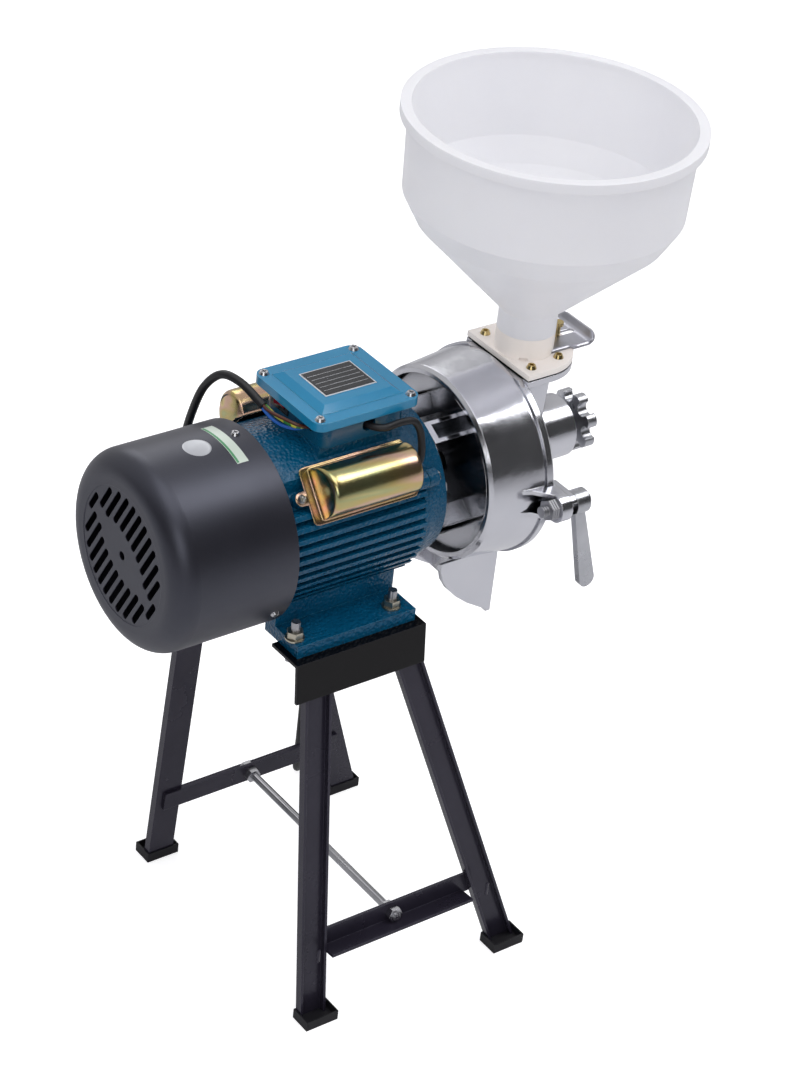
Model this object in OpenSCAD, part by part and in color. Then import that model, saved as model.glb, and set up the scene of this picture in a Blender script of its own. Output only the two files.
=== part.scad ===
// Electric grain mill on a four-legged stand: capacitor motor, disc mill head, hopper and mains cord.
// Millimetres. X runs along the motor shaft towards the mill head, Z is up, the floor is at zero.

/* [Stand] */
// Outer width of the feet along the shaft
foot_span_x = 246; // [220:1:300]
// Outer width of the feet across the shaft
foot_span_y = 290; // [270:1:340]
// Height of the motor's seat above the floor
seat_z = 378; // [320:1:440]
// How far the rails stand out past the motor's feet at each end
rail_over = 6; // [2:1:12]
// Flange width of the top rails
rail_w = 38; // [34:1:44]
// Width of the channel legs
leg_w = 27; // [24:1:28]
// Depth of the channel legs
leg_d = 8; // [6:0.5:9]
// Flange width of the braces
brace_w = 20; // [16:1:28]
// Wall of the rails and braces
angle_t = 3; // [2:0.5:4]
// Wall of the legs
leg_t = 2.5; // [1.5:0.5:3]
// Distance of the rails' outer edges from the shaft's vertical plane
rail_y = 97; // [94:1:104]
// Height of the braces' top edge
brace_z = 87; // [70:1:150]
// Tie rod diameter
tie_d = 8; // [6:1:10]
// Place of the tie rod along the shaft
tie_x = -18; // [-40:1:10]
// Foot cap length along the shaft
cap_lx = 34; // [33:1:38]
// Foot cap length across the shaft
cap_ly = 22; // [19:1:26]
// Foot cap height
cap_h = 10; // [8:1:14]

/* [Motor] */
// Shaft height above the motor's seat
motor_h = 90; // [86:1:96]
// Length of the finned frame
frame_l = 142; // [132:1:160]
// Radius over the fins
fin_r = 79; // [76:1:82]
// Fin height
fin_h = 9; // [5:1:11]
// Spacing of the fins
fin_pitch = 9.5; // [8:0.5:14]
// Fin thickness
fin_t = 4; // [3:0.5:5]
// From the rear end of the motor's feet to their rear bolts
foot_bolt_back = 5; // [5:1:12]
// From the front end of the motor's feet to their front bolts
foot_bolt_front = 17; // [8:1:24]
// Bolt spacing of the motor's feet across the shaft
foot_bolt_y = 150; // [146:1:154]
// Thickness of the motor's feet
foot_t = 12; // [8:1:16]
// Fan cover radius
cover_r = 88; // [86:1:96]
// Fan cover length
cover_l = 116; // [104:1:130]
// Fan cover corner radius
cover_corner_r = 21; // [12:1:28]
// Fan cover sheet
cover_t = 1.5; // [1:0.25:2.5]
// Front end shield length
shield_l = 26; // [20:1:30]
// Front end shield radius at its face
shield_r = 70; // [68:1:74]
// Shaft radius in the bearings
shaft_r = 10; // [8:0.5:12]
// Fan radius
fan_r = 68; // [50:1:74]

/* [Junction box] */
// Box length along the shaft
box_l = 84; // [76:1:92]
// Box width across the shaft
box_w = 86; // [76:1:92]
// Box wall
box_t = 3; // [2:0.5:4]
// Height of the box over the motor's axis, to the lid's seat
box_z = 106; // [102:1:112]
// From the front end of the frame to the box
box_front = 8; // [6:1:20]
// How far the lid stands out past the box along the shaft
lid_over_x = 11; // [9:0.5:13]
// How far the lid stands out past the box across the shaft
lid_over_y = 6; // [5.5:0.5:10]
// Lid rim height
lid_h = 8; // [6:0.5:10]
// Raised middle of the lid
lid_rise = 5; // [3:0.5:8]

/* [Capacitors] */
// Height of the capacitors round the frame, in degrees above level
can_ang = 40; // [37:1:43]
// Capacitor can radius
can_r = 14; // [12:0.5:14]
// Room at each end of a capacitor under its cover
can_room = 11; // [10:1:16]
// How much shorter a capacitor cover is than the frame
shell_room = 36; // [36:1:42]
// Cover width
shell_w = 50; // [48:1:52]
// Cover height over its flange
shell_h = 31; // [29:1:33]

/* [Mill head] */
// Place of the drum's open rear edge
drum_x = 60; // [56:1:66]
// Drum length
drum_l = 56; // [50:1:64]
// Drum radius at the front
drum_r = 93; // [90:1:98]
// Drum radius at the rear
drum_rear_r = 88; // [84:1:92]
// Drum wall
drum_t = 5; // [4:0.5:7]
// Front cover thickness at its rim
lid_disc_t = 9; // [7:0.5:12]
// Front cover radius
lid_disc_r = 95; // [92:1:99]
// Radius of the feed boss
boss_r = 29; // [26:1:32]
// Length of the feed boss over the cover
boss_l = 80; // [74:1:88]
// Radius of the feed chamber
feed_r = 19; // [17:0.5:21]
// Grinding disc radius
burr_r = 55; // [45:1:62]
// Grinding disc thickness
burr_t = 9; // [7:0.5:10]
// Working gap of the grinding discs
burr_gap = 1; // [0.5:0.1:2]
// Teeth of each grinding disc
burr_teeth = 24; // [12:1:30]
// Feed screw radius
auger_r = 17; // [14:0.5:18]
// Turns of the feed screw
auger_turns = 2.5; // [1.5:0.5:3]
// Discharge spout length below the drum
spout_h = 56; // [40:1:70]
// Discharge spout width
spout_w = 84; // [70:1:92]

/* [Adjusting screw and clamp] */
// Adjusting screw radius
screw_r = 6; // [5:0.5:7]
// Star knob radius over the lobes
knob_r = 29; // [26:1:34]
// Lobes of the star knob
knob_lobes = 7; // [5:1:9]
// Star knob thickness
knob_t = 10; // [8:0.5:14]
// Distance of the knob's face from the boss
knob_gap = 11; // [9:0.5:16]
// Distance of the clamp bolt from the shaft
clamp_y = 109; // [107:1:112]
// Clamp bolt radius
clamp_r = 5; // [4:0.5:6]
// Clamp lever hub radius
hub_r = 11; // [10:0.5:13]
// Clamp lever hub length
hub_l = 14; // [13:1:18]
// Clamp lever reach
lever_l = 98; // [70:1:110]
// Lean of the hanging lever, in degrees
lever_lean = 15; // [5:1:20]

/* [Hopper] */
// Hopper rim diameter
hopper_d = 260; // [220:2:270]
// Hopper height with its spigot
hopper_h = 218; // [200:2:240]
// Height of the barrel with the rounded shoulder
barrel_h = 100; // [84:2:110]
// Barrel diameter under the rim
barrel_d = 247; // [200:1:252]
// Barrel diameter at the shoulder
barrel_low_d = 242; // [196:1:246]
// Outer diameter of the neck
neck_d = 52; // [50:1:56]
// Hopper wall
hopper_t = 3; // [2:0.5:4]
// Place of the hopper along the shaft
hopper_x = 150; // [147:1:154]
// Height of the hopper plate's underside over the shaft
throat_z = 88; // [84:1:94]
// Hopper plate width
plate_w = 88; // [82:1:94]
// Hopper plate thickness
plate_t = 5; // [4:0.5:7]
// Socket height on the hopper plate
socket_h = 20; // [18:1:26]
// Bore of the hopper plate
feed_d = 36; // [32:1:38]
// Gate sheet
gate_t = 2; // [1.5:0.25:2.5]
// Gate travel to close
gate_close = 14; // [10:1:16]
// Gate travel to open
gate_open = 10; // [6:1:12]

/* [Mains cord] */
// Cord diameter
cord_d = 7.5; // [6.5:0.5:8]
// Loops of the spare cord
coil_loops = 4; // [3:1:4]
// Radius of the coil's outer loops
coil_r = 38; // [36:1:40]

/* [Hidden] */

// One overrun serves every cut
over = 1;
// Clearance of a loose fit, and of a running fit
slack = 0.3;
run = 0.05;
// Small hardware
m6_r = 3;
m6_head_r = 5.5;
m6_head_h = 4;
m5_r = 2.5;
m5_head_r = 4.6;
m5_head_h = 3.2;
m4_r = 2;
m4_head_r = 4;
m4_head_h = 2.4;
m8_af = 13;
m8_h = 6.5;
m8_washer_r = 8.5;
m8_washer_t = 1.6;
m10_af = 17;
m10_h = 8;
hex = 6;
socket_r = 1.6;
socket_depth = 1.5;

// The middle of the part's box becomes the origin
axis_z = seat_z + motor_h;
frame_x = -frame_l;
foot_short = 20;
foot_fore = 1;
foot_l = frame_l - foot_short;
foot_mid_x = frame_x/2 + foot_fore;
rail_l = foot_l + 2*rail_over;
rail_x = foot_mid_x;
foot_bolt_x = foot_l - foot_bolt_back - foot_bolt_front;
foot_bolt_mid = foot_mid_x + (foot_bolt_back - foot_bolt_front)/2;
box_x = -box_front - box_l/2;
lid_l = box_l + 2*lid_over_x;
lid_w = box_w + 2*lid_over_y;
shell_l = frame_l - shell_room;
can_l = shell_l - 2*can_room;
can_fore = 6.5;
can_mid_x = frame_x/2 + can_fore;
ear_out = 4.5;
ear_x = shell_l/2 + ear_out;
cover_lap = 4;
cover_back_x = frame_x - cover_l + cover_lap;
mid_x = (hopper_x + hopper_d/2 + cover_back_x)/2;

module at_origin() { translate([-mid_x, 0, 0]) children(); }
module on_axis() { translate([-mid_x, 0, axis_z]) children(); }
module rod_x(r, l) { rotate([0, 90, 0]) cylinder(r = r, h = l, $fn = 64); }
module hex_x(af, l) { rotate([0, 90, 0]) cylinder(r = af/2/cos(180/hex), h = l, $fn = hex); }
module turn_x() { rotate([0, 90, 0]) rotate_extrude($fn = 96) children(); }
module both() { children(); mirror([0, 1, 0]) children(); }
module round_plate(lx, ly, r) {
  square([lx - 2*r, ly], center = true);
  square([lx, ly - 2*r], center = true);
  for (sx = [-1, 1], sy = [-1, 1]) translate([sx*(lx/2 - r), sy*(ly/2 - r)]) circle(r = r, $fn = 48);
}
module bore_x(r, l) { translate([-over, 0, 0]) rod_x(r, l + 2*over); }
module pan_screw(r, head_r, head_h, l) {
  translate([0, 0, -l]) cylinder(r = r, h = l, $fn = 32);
  difference() {
    cylinder(r1 = head_r, r2 = head_r*head_taper_share, h = head_h, $fn = 32);
    for (a = [0, 90]) rotate([0, 0, a]) translate([0, 0, head_h])
      cube([2*head_r*slot_share, head_h*slot_share, head_h], center = true);
  }
}
head_taper_share = 0.72;
slot_share = 0.55;

// Stand: each frame is drawn flat, then leans about the rail's outer top corner.
// In the flat frame y = 0 is the rail's outer face and z = 0 its top.
cap_wall = 1.2;
cap_floor = 3;
leg_room = 1.2;
foot_in = 0.4;
heel_y = foot_span_y/2 - cap_ly + cap_wall + leg_room;
lean = atan((heel_y + leg_d + angle_t - rail_y)/seat_z);
frame_h = seat_z/cos(lean);
leg_set_rear = 12;
leg_set_front = 1;
rear_leg_rail = rail_x - rail_l/2 + leg_set_rear;
front_leg_rail = rail_x + rail_l/2 - leg_w + leg_set_front;
rear_leg_foot = -foot_span_x/2 + cap_wall + foot_in;
front_leg_foot = foot_span_x/2 - cap_wall - foot_in - leg_w;
function splay(top, foot) = atan((foot - top)/(frame_h - rail_w));
function leg_at(top, foot, d) = top + (foot - top)*(d - rail_w)/(frame_h - rail_w);

module in_frame() {
  at_origin() translate([0, -rail_y, seat_z]) rotate([-lean, 0, 0]) children();
}
module rail() {
  at_origin() difference() {
    union() {
      translate([rail_x - rail_l/2, -rail_y, seat_z - angle_t]) cube([rail_l, rail_w, angle_t]);
      translate([rail_x - rail_l/2, -rail_y, seat_z]) rotate([-lean, 0, 0])
        translate([0, 0, -rail_w]) cube([rail_l, angle_t, rail_w]);
    }
    translate([rail_x - rail_l, -rail_y - rail_w, seat_z]) cube([2*rail_l, 2*rail_w, angle_t]);
    for (s = [-1, 1]) translate([foot_bolt_mid + s*foot_bolt_x/2, -foot_bolt_y/2, seat_z - angle_t - over])
      cylinder(r = tie_d/2 + slack, h = angle_t + 2*over, $fn = 48);
  }
}
module leg(top, foot) {
  a = splay(top, foot);
  intersection() {
    in_frame() translate([leg_at(top, foot, 0), angle_t, 0]) rotate([0, -a, 0])
      translate([0, 0, -2*frame_h]) difference() {
        cube([leg_w*cos(a), leg_d, 2*frame_h + rail_w]);
        translate([leg_t, -over, -over])
          cube([leg_w*cos(a) - 2*leg_t, leg_d - leg_t + over, 2*frame_h + rail_w + 2*over]);
      }
    translate([-foot_span_x*2, -foot_span_y, cap_floor])
      cube([foot_span_x*4, foot_span_y*2, seat_z - angle_t - cap_floor]);
  }
}
brace_in = (seat_z - brace_z)/cos(lean);
brace_slope = 0.6;
brace_lap = 8;
brace_x0 = leg_at(rear_leg_rail, rear_leg_foot, brace_in) + brace_lap;
brace_x1 = leg_at(front_leg_rail, front_leg_foot, brace_in) + leg_w - brace_lap;
brace_open = leg_at(rear_leg_rail, rear_leg_foot, brace_in) + leg_w + brace_slope;
brace_shut = leg_at(front_leg_rail, front_leg_foot, brace_in) - brace_slope;
brace_y = angle_t + leg_d;
module brace() {
  difference() {
    in_frame() {
      translate([brace_x0, brace_y, -brace_in - brace_w]) cube([brace_x1 - brace_x0, angle_t, brace_w]);
      translate([brace_open, brace_y + angle_t - brace_w, -brace_in - brace_w])
        cube([brace_shut - brace_open, brace_w, angle_t]);
    }
    tie_line(tie_d/2 + slack);
  }
}
module foot_cap(x) {
  heel = foot_span_y/2 - cap_ly;
  difference() {
    translate([x, heel, 0]) cube([cap_lx, cap_ly, cap_h]);
    translate([x + cap_wall, heel + cap_wall, cap_floor])
      cube([cap_lx - 2*cap_wall, cap_ly - 2*cap_wall, cap_h]);
  }
}

module rail_near() { color("#1a1a1c") rail(); }
module rail_far() { color("#1a1a1c") mirror([0, 1, 0]) rail(); }
module leg_near_rear() { color("#232326") leg(rear_leg_rail, rear_leg_foot); }
module leg_near_front() { color("#232326") leg(front_leg_rail, front_leg_foot); }
module leg_far_rear() { color("#232326") mirror([0, 1, 0]) leg(rear_leg_rail, rear_leg_foot); }
module leg_far_front() { color("#232326") mirror([0, 1, 0]) leg(front_leg_rail, front_leg_foot); }
module brace_near() { color("#1d1d20") brace(); }
module brace_far() { color("#1d1d20") mirror([0, 1, 0]) brace(); }
module foot_caps() {
  color("#101012") at_origin() both() {
    foot_cap(-foot_span_x/2);
    foot_cap(foot_span_x/2 - cap_lx);
  }
}

// The tie rod runs level between the two leaning braces; its nuts sit flat on them.
tie_z = seat_z - brace_y*sin(lean) - (brace_in + brace_w/2)*cos(lean);
tie_y = rail_y + (brace_in + brace_w/2)*sin(lean) - brace_y*cos(lean);
tie_past = 9;
module tie_line(r) {
  at_origin() translate([tie_x, -tie_y - tie_past, tie_z]) rotate([-90, 0, 0])
    cylinder(r = r, h = 2*(tie_y + tie_past), $fn = 48);
}
module tie_rod() { color("#b9bcc0") tie_line(tie_d/2); }
module tie_nuts() {
  color("#b0b3b6") difference() {
    both() in_frame() for (s = [0, 1])
      translate([tie_x, brace_y + s*angle_t, -brace_in - brace_w/2]) rotate([s == 1 ? -90 : 90, 0, 0])
        cylinder(r = m8_af/2/cos(180/hex), h = m8_h, $fn = hex);
    tie_line(tie_d/2 + run);
  }
}

// Motor foot bolts stand up through rail and foot.
bolt_past = 9;
module at_foot_bolts() {
  at_origin() both() for (s = [-1, 1])
    translate([foot_bolt_mid + s*foot_bolt_x/2, -foot_bolt_y/2, seat_z]) children();
}
module motor_bolts() {
  color("#c4c6c8") at_foot_bolts() {
    translate([0, 0, -angle_t])
      cylinder(r = tie_d/2 - run, h = angle_t + foot_t + m8_h + m8_washer_t + bolt_past, $fn = 48);
    translate([0, 0, -angle_t - m8_h]) cylinder(r = m8_af/2/cos(180/hex), h = m8_h, $fn = hex);
  }
}
module motor_nuts() {
  color("#c9b47c") at_foot_bolts() translate([0, 0, foot_t]) difference() {
    union() {
      cylinder(r = m8_washer_r, h = m8_washer_t, $fn = 48);
      translate([0, 0, m8_washer_t]) cylinder(r = m8_af/2/cos(180/hex), h = m8_h, $fn = hex);
    }
    translate([0, 0, -over]) cylinder(r = tie_d/2, h = m8_h + m8_washer_t + 2*over, $fn = 48);
  }
}

// Motor frame: finned casting with a smooth top for the junction box and two feet.
core_r = fin_r - fin_h;
bore_r = 61;
foot_out = 88;
foot_wall_y = 53;
foot_web = 14;
crown_w = 96;
pad_z = 80;
pad_w = 78;
can_seat = 13;
crown_low = 42;
fin_rows = floor(crown_low/fin_pitch);
module frame_outline() {
  difference() {
    union() {
      circle(r = core_r, $fn = 128);
      intersection() {
        circle(r = fin_r, $fn = 128);
        union() {
          for (i = [-fin_rows - 2 : fin_rows]) translate([-fin_r, i*fin_pitch - fin_t/2])
            square([2*fin_r, fin_t]);
          translate([-crown_w/2, crown_low]) square([crown_w, fin_r]);
          translate([-foot_wall_y, -fin_r]) square([2*foot_wall_y, fin_r - crown_low]);
        }
      }
    }
    circle(r = bore_r, $fn = 128);
  }
}
module along_x(x, l) { translate([x, 0, 0]) rotate([90, 0, 90]) linear_extrude(height = l) children(); }
module foot_outline() {
  for (s = [-1, 1]) {
    translate([s > 0 ? foot_wall_y - foot_web : -foot_wall_y, -motor_h])
      square([foot_web, motor_h - crown_low]);
    translate([s > 0 ? foot_wall_y - foot_web : -foot_out, -motor_h])
      square([foot_out - foot_wall_y + foot_web, foot_t]);
  }
}
lug_angs = [30, 150, 270];
lug_r = 8;
lug_at = 79;
lug_l = 10;
lug_set = 0.6;
module at_lugs() { for (a = lug_angs) rotate([a, 0, 0]) translate([0, lug_at, 0]) children(); }
ear_r = 6;
module at_ears() {
  for (m = [0, 1]) mirror([0, m, 0]) for (s = [-1, 1]) translate([can_mid_x + s*ear_x, 0, 0])
    rotate([90 - can_ang, 0, 0]) children();
}
module motor_frame() {
  color("#12597f") on_axis() difference() {
    union() {
      along_x(frame_x, frame_l) frame_outline();
      translate([box_x - box_l/2, -pad_w/2, crown_low]) difference() {
        cube([box_l, pad_w, pad_z - crown_low]);
        translate([-over, pad_w/2, -crown_low]) rod_x(core_r - over, box_l + 2*over);
      }
      difference() {
        along_x(foot_mid_x - foot_l/2, foot_l) foot_outline();
        translate([frame_x - over, 0, 0]) rod_x(core_r - over, frame_l + 2*over);
      }
      at_ears() translate([0, 0, core_r - over])
        cylinder(r = ear_r, h = can_seat_r - core_r + over, $fn = 32);
      translate([-lug_l, 0, 0]) at_lugs() rod_x(lug_r, lug_l - lug_set);
    }
    for (s = [-1, 1], t = [-1, 1])
      translate([foot_bolt_mid + s*foot_bolt_x/2, t*foot_bolt_y/2, -motor_h - over])
      cylinder(r = tie_d/2 + slack, h = foot_t + 2*over, $fn = 48);
    translate([-lug_l, 0, 0]) at_lugs() bore_x(m5_r, lug_l);
    at_ears() translate([0, 0, core_r + over]) cylinder(r = m4_r, h = fin_r, $fn = 32);
    translate([box_x, 0, core_r + wire_hole_deep]) cylinder(r = wire_hole_r, h = pad_z, $fn = 48);
  }
}
can_seat_r = fin_r + slack;
wire_hole_r = 9;
wire_hole_deep = 2;

// Stator, windings and the rotating parts inside the frame.
stack_back_room = 30;
stack_front_room = 32;
stack_l = frame_l - stack_back_room - stack_front_room;
stack_x = frame_x + stack_back_room;
air_gap = 0.6;
rotor_r = 36;
slots = 24;
slot_w = 5;
slot_h = 14;
module stator() {
  color("#5a5d61") on_axis() difference() {
    along_x(stack_x, stack_l) difference() {
      circle(r = bore_r - slack, $fn = 128);
      circle(r = rotor_r + air_gap, $fn = 128);
      for (i = [0 : slots - 1]) rotate([0, 0, i*360/slots])
        translate([rotor_r + air_gap + slot_w/2, -slot_w/2]) square([slot_h, slot_w]);
    }
  }
}
end_turn = 15;
module windings() {
  color("#b3703a") on_axis() for (x = [stack_x - end_turn, stack_x + stack_l])
    translate([x, 0, 0]) turn_x() translate([rotor_r + slot_w, 0]) square([slot_h - slot_w/2, end_turn]);
}
module rotor_core() {
  color("#8d9094") on_axis() translate([stack_x, 0, 0]) difference() {
    rod_x(rotor_r, stack_l);
    bore_x(shaft_r + run, stack_l);
  }
}
bearing_r = 21;
bearing_t = 12;
bearing_front_x = 8;
bearing_rear_x = frame_x - bearing_t;
module bearings() {
  color("#c7cacd") on_axis() for (x = [bearing_rear_x, bearing_front_x]) translate([x, 0, 0]) difference() {
    rod_x(bearing_r, bearing_t);
    bore_x(shaft_r + run, bearing_t);
  }
}
shaft_tail = 58;
shaft_back_x = frame_x - shaft_tail;
boss_wall = 9;
nose_gap = 1.8;
pad_t = 5;
pad_room = 2;
pad_space = pad_t + pad_room + nose_gap;
auger_end_x = drum_x + drum_l + lid_disc_t + boss_l - boss_wall - pad_space;
module shaft() {
  color("#a9acb0") on_axis() translate([shaft_back_x, 0, 0]) rod_x(shaft_r, auger_end_x - shaft_back_x);
}
fan_back = 46;
fan_x = frame_x - fan_back;
fan_w = 24;
fan_hub_r = 18;
blades = 8;
blade_t = 2.5;
module fan() {
  color("#2b2b2d") on_axis() translate([fan_x, 0, 0]) difference() {
    union() {
      rod_x(fan_hub_r, fan_w);
      translate([fan_w - blade_t, 0, 0]) rod_x(fan_r, blade_t);
      for (i = [0 : blades - 1]) rotate([i*360/blades, 0, 0]) translate([0, fan_hub_r - over, -blade_t/2])
        cube([fan_w, fan_r - fan_hub_r, blade_t]);
    }
    bore_x(shaft_r + run, fan_w);
  }
}

// End shields: the rear one sits inside the fan cover, the front one carries the mill.
rear_plate_t = 15;
module rear_shield() {
  color("#14506f") on_axis() translate([frame_x - rear_plate_t, 0, 0]) difference() {
    union() {
      rod_x(fin_r - slack, rear_plate_t);
      intersection() {
        rod_x(cover_r - cover_t - slack, rear_plate_t);
        for (a = screw_angs) rotate([a, 0, 0]) translate([0, fin_r - lug_r, -lug_r])
          cube([rear_plate_t, 2*lug_r, 2*lug_r]);
      }
    }
    bore_x(shaft_r + slack, rear_plate_t);
    translate([rear_plate_t - bearing_t, 0, 0]) rod_x(bearing_r + run, bearing_t + over);
    for (a = screw_angs) rotate([a - 90, 0, 0])
      translate([rear_plate_t - 2*cover_lap, 0, cover_r - lug_r - over])
      cylinder(r = m4_r, h = 2*lug_r, $fn = 32);
  }
}
screw_angs = [90, 210, 330];
module front_shield() {
  color("#12597f") on_axis() difference() {
    union() {
      turn_x() polygon([[shaft_r + slack, 0], [fin_r - fin_t, 0], [fin_r - fin_t, shield_l/4],
        [shield_r, shield_l], [shaft_r + slack, shield_l]]);
      at_lugs() rod_x(lug_r, lug_l);
    }
    translate([bearing_front_x, 0, 0]) rod_x(bearing_r + run, shield_l);
    at_lugs() bore_x(m5_r + slack, lug_l);
    for (a = bolt_angs) rotate([a, 0, 0]) translate([shield_l - bolt_deep, arm_r, 0]) rod_x(m6_r, shield_l);
  }
}
bolt_angs = [14, 90, 166, 270];
bolt_deep = 10;
module shield_bolts() {
  color("#b7babd") on_axis() at_lugs() {
    translate([-lug_l + over, 0, 0]) rod_x(m5_r, 2*lug_l - over);
    translate([lug_l, 0, 0]) hex_x(2*m5_head_r, m5_head_h);
  }
}

// Fan cover: one drawn cup with two rows of slots in its flat back.
vent_ang = 30;
vent_rows = 10;
vent_pitch = 10;
vent_w = 6;
vent_in = 19;
vent_in_end = 6;
vent_r = 57;
vent_step = 0.8;
vent_disc_r = 60;
vent_end = 54;
vent_end_l = 22;
hole_r = 4;
module slot_2d(a, b) {
  translate([-vent_w/2, a + vent_w/2]) square([vent_w, b - a - vent_w]);
  translate([0, a + vent_w/2]) circle(r = vent_w/2, $fn = 24);
  translate([0, b - vent_w/2]) circle(r = vent_w/2, $fn = 24);
}
module vents() {
  circle(r = hole_r, $fn = 32);
  for (i = [0 : vent_rows - 1]) {
    p = (i - (vent_rows - 1)/2)*vent_pitch;
    for (m = [0, 1]) mirror([0, m]) translate([p, 0])
      slot_2d(sqrt(max(vent_in_end*vent_in_end, vent_in*vent_in - p*p/4)), sqrt(vent_r*vent_r - p*p));
  }
  for (s = [-1, 1]) translate([s*vent_end, -vent_end_l/2]) slot_2d(0, vent_end_l);
}
function arc(cx, cy, r, a0, a1, n) = [for (i = [0 : n]) [cx + r*cos(a0 + (a1 - a0)*i/n),
  cy + r*sin(a0 + (a1 - a0)*i/n)]];
module fan_cover() {
  color("#3a3a42") on_axis() difference() {
    translate([cover_back_x, 0, 0]) difference() {
      cover_body(cover_r, cover_l, cover_corner_r);
      translate([cover_t, 0, 0]) cover_body(cover_r - cover_t, cover_l, cover_corner_r - cover_t);
    }
    translate([cover_back_x - over, 0, 0]) rotate([90, 0, 90]) linear_extrude(height = cover_corner_r)
      rotate([0, 0, vent_ang]) vents();
    translate([cover_back_x - over, 0, 0]) rod_x(vent_disc_r, over + vent_step/2);
    for (a = screw_angs) rotate([a - 90, 0, 0]) translate([frame_x - cover_lap*2, 0, cover_r - lug_r])
      cylinder(r = m4_r + slack, h = 2*lug_r, $fn = 32);
  }
}
module cover_body(r, l, c) {
  turn_x() {
    square([r - c, l]);
    translate([0, c]) square([r, l - c]);
    intersection() {
      translate([r - c, c]) circle(r = c, $fn = 96);
      square([r, l]);
    }
  }
}
module fan_cover_screws() {
  color("#c9ccce") on_axis() for (a = screw_angs) rotate([a - 90, 0, 0])
    translate([frame_x - cover_lap*2, 0, cover_r])
    pan_screw(m4_r - run, m4_head_r, m4_head_h, lug_r);
}

// Junction box with its lid, switch and terminals.
box_r = 9;
box_floor = 3;
wire_off = 20;
wire_y = -wire_off;
wire_drop = 14;
wire_z = box_z - wire_drop;
wire_rx = 3.6;
near_hole_x = 4;
near_hole_drop = 13;
near_hole_z = box_z - near_hole_drop;
near_hole_r = 6.5;
rocker_y = 20;
rocker_drop = 13;
rocker_z = box_z - rocker_drop;
rocker_l = 21;
rocker_h = 12;
rocker_frame = 2;
post_r = 5;
screw_out = 4;
screw_in = 1.5;
screw_dx = box_l + 2*screw_out;
screw_dy = box_w - 2*screw_in;
post_in = 7;
module at_lid_screws() { for (s = [-1, 1], t = [-1, 1]) translate([box_x + s*screw_dx/2, t*screw_dy/2,
  0]) children(); }
module junction_box() {
  color("#12597f") on_axis() difference() {
    union() {
      translate([box_x, 0, pad_z]) linear_extrude(height = box_z - pad_z) round_plate(box_l, box_w, box_r);
      intersection() {
        translate([box_x, 0, pad_z]) linear_extrude(height = box_z - pad_z)
          round_plate(lid_l - 2*lid_wall - 2*slack, lid_w - 2*lid_wall - 2*slack, lid_r - lid_wall);
        for (s = [-1, 1], t = [-1, 1]) hull() {
          translate([box_x + s*screw_dx/2, t*screw_dy/2, box_z - post_r])
            cylinder(r = post_r, h = post_r, $fn = 16);
          translate([box_x + s*(box_l/2 - box_r), t*(box_w/2 - box_r), box_z - 2*post_r])
            cylinder(r = post_r, h = 2*post_r, $fn = 16);
        }
      }
    }
    translate([box_x, 0, pad_z + box_floor]) linear_extrude(height = box_z)
      round_plate(box_l - 2*box_t, box_w - 2*box_t, box_r - box_t);
    translate([box_x, 0, pad_z - over]) cylinder(r = wire_hole_r, h = box_floor + 2*over, $fn = 48);
    translate([box_x - box_l/2 - over, wire_y, wire_z]) {
      translate([0, -wire_rx, 0]) rod_x(wire_rx, 2*over + box_t);
      translate([0, wire_rx, 0]) rod_x(wire_rx, 2*over + box_t);
      translate([0, -wire_rx, -wire_rx]) cube([2*over + box_t, 2*wire_rx, 2*wire_rx]);
    }
    translate([box_x + near_hole_x, -box_w/2 - over, near_hole_z]) rotate([-90, 0, 0])
      cylinder(r = near_hole_r, h = box_t + 2*over, $fn = 48);
    translate([box_x - box_l/2 - over, rocker_y - rocker_l/2 - slack, rocker_z - rocker_h/2 - slack])
      cube([box_t + 2*over, rocker_l + 2*slack, rocker_h + 2*slack]);
    at_lid_screws() translate([0, 0, box_z - post_r - over]) cylinder(r = m4_r, h = 2*post_r, $fn = 32);
  }
}
gasket_t = 1;
module lid_gasket() {
  color("#26262a") on_axis() translate([box_x, 0, box_z]) linear_extrude(height = gasket_t) difference() {
    round_plate(box_l + box_t, box_w, box_r);
    round_plate(box_l - 2*box_t, box_w - 2*box_t, box_r - box_t);
  }
}
lid_r = 10;
lid_wall = 2.5;
bevel_in = 12;
plateau_in = 19;
module box_lid() {
  color("#2f7ba3") on_axis() translate([box_x, 0, box_z + gasket_t]) difference() {
    union() {
      translate([0, 0, -lid_h + lid_wall]) linear_extrude(height = lid_h) round_plate(lid_l, lid_w, lid_r);
      hull() {
        translate([0, 0, lid_wall]) linear_extrude(height = gasket_t/2)
          square([lid_l - 2*bevel_in, lid_w - 2*bevel_in], center = true);
        translate([0, 0, lid_wall]) linear_extrude(height = lid_rise)
          square([lid_l - 2*plateau_in, lid_w - 2*plateau_in], center = true);
      }
    }
    translate([0, 0, -lid_h + lid_wall - over]) linear_extrude(height = lid_h - lid_wall + over)
      round_plate(lid_l - 2*lid_wall, lid_w - 2*lid_wall, lid_r - lid_wall);
    for (s = [-1, 1], t = [-1, 1]) translate([s*screw_dx/2, t*screw_dy/2, -lid_h])
      cylinder(r = m4_r + slack, h = 3*lid_h, $fn = 32);
  }
}
module lid_screws() {
  color("#d8cfae") on_axis() at_lid_screws() translate([0, 0, box_z + gasket_t + lid_wall])
    pan_screw(m4_r - run, m5_head_r, m4_head_h, post_r + lid_wall);
}
switch_deep = 14;
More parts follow.
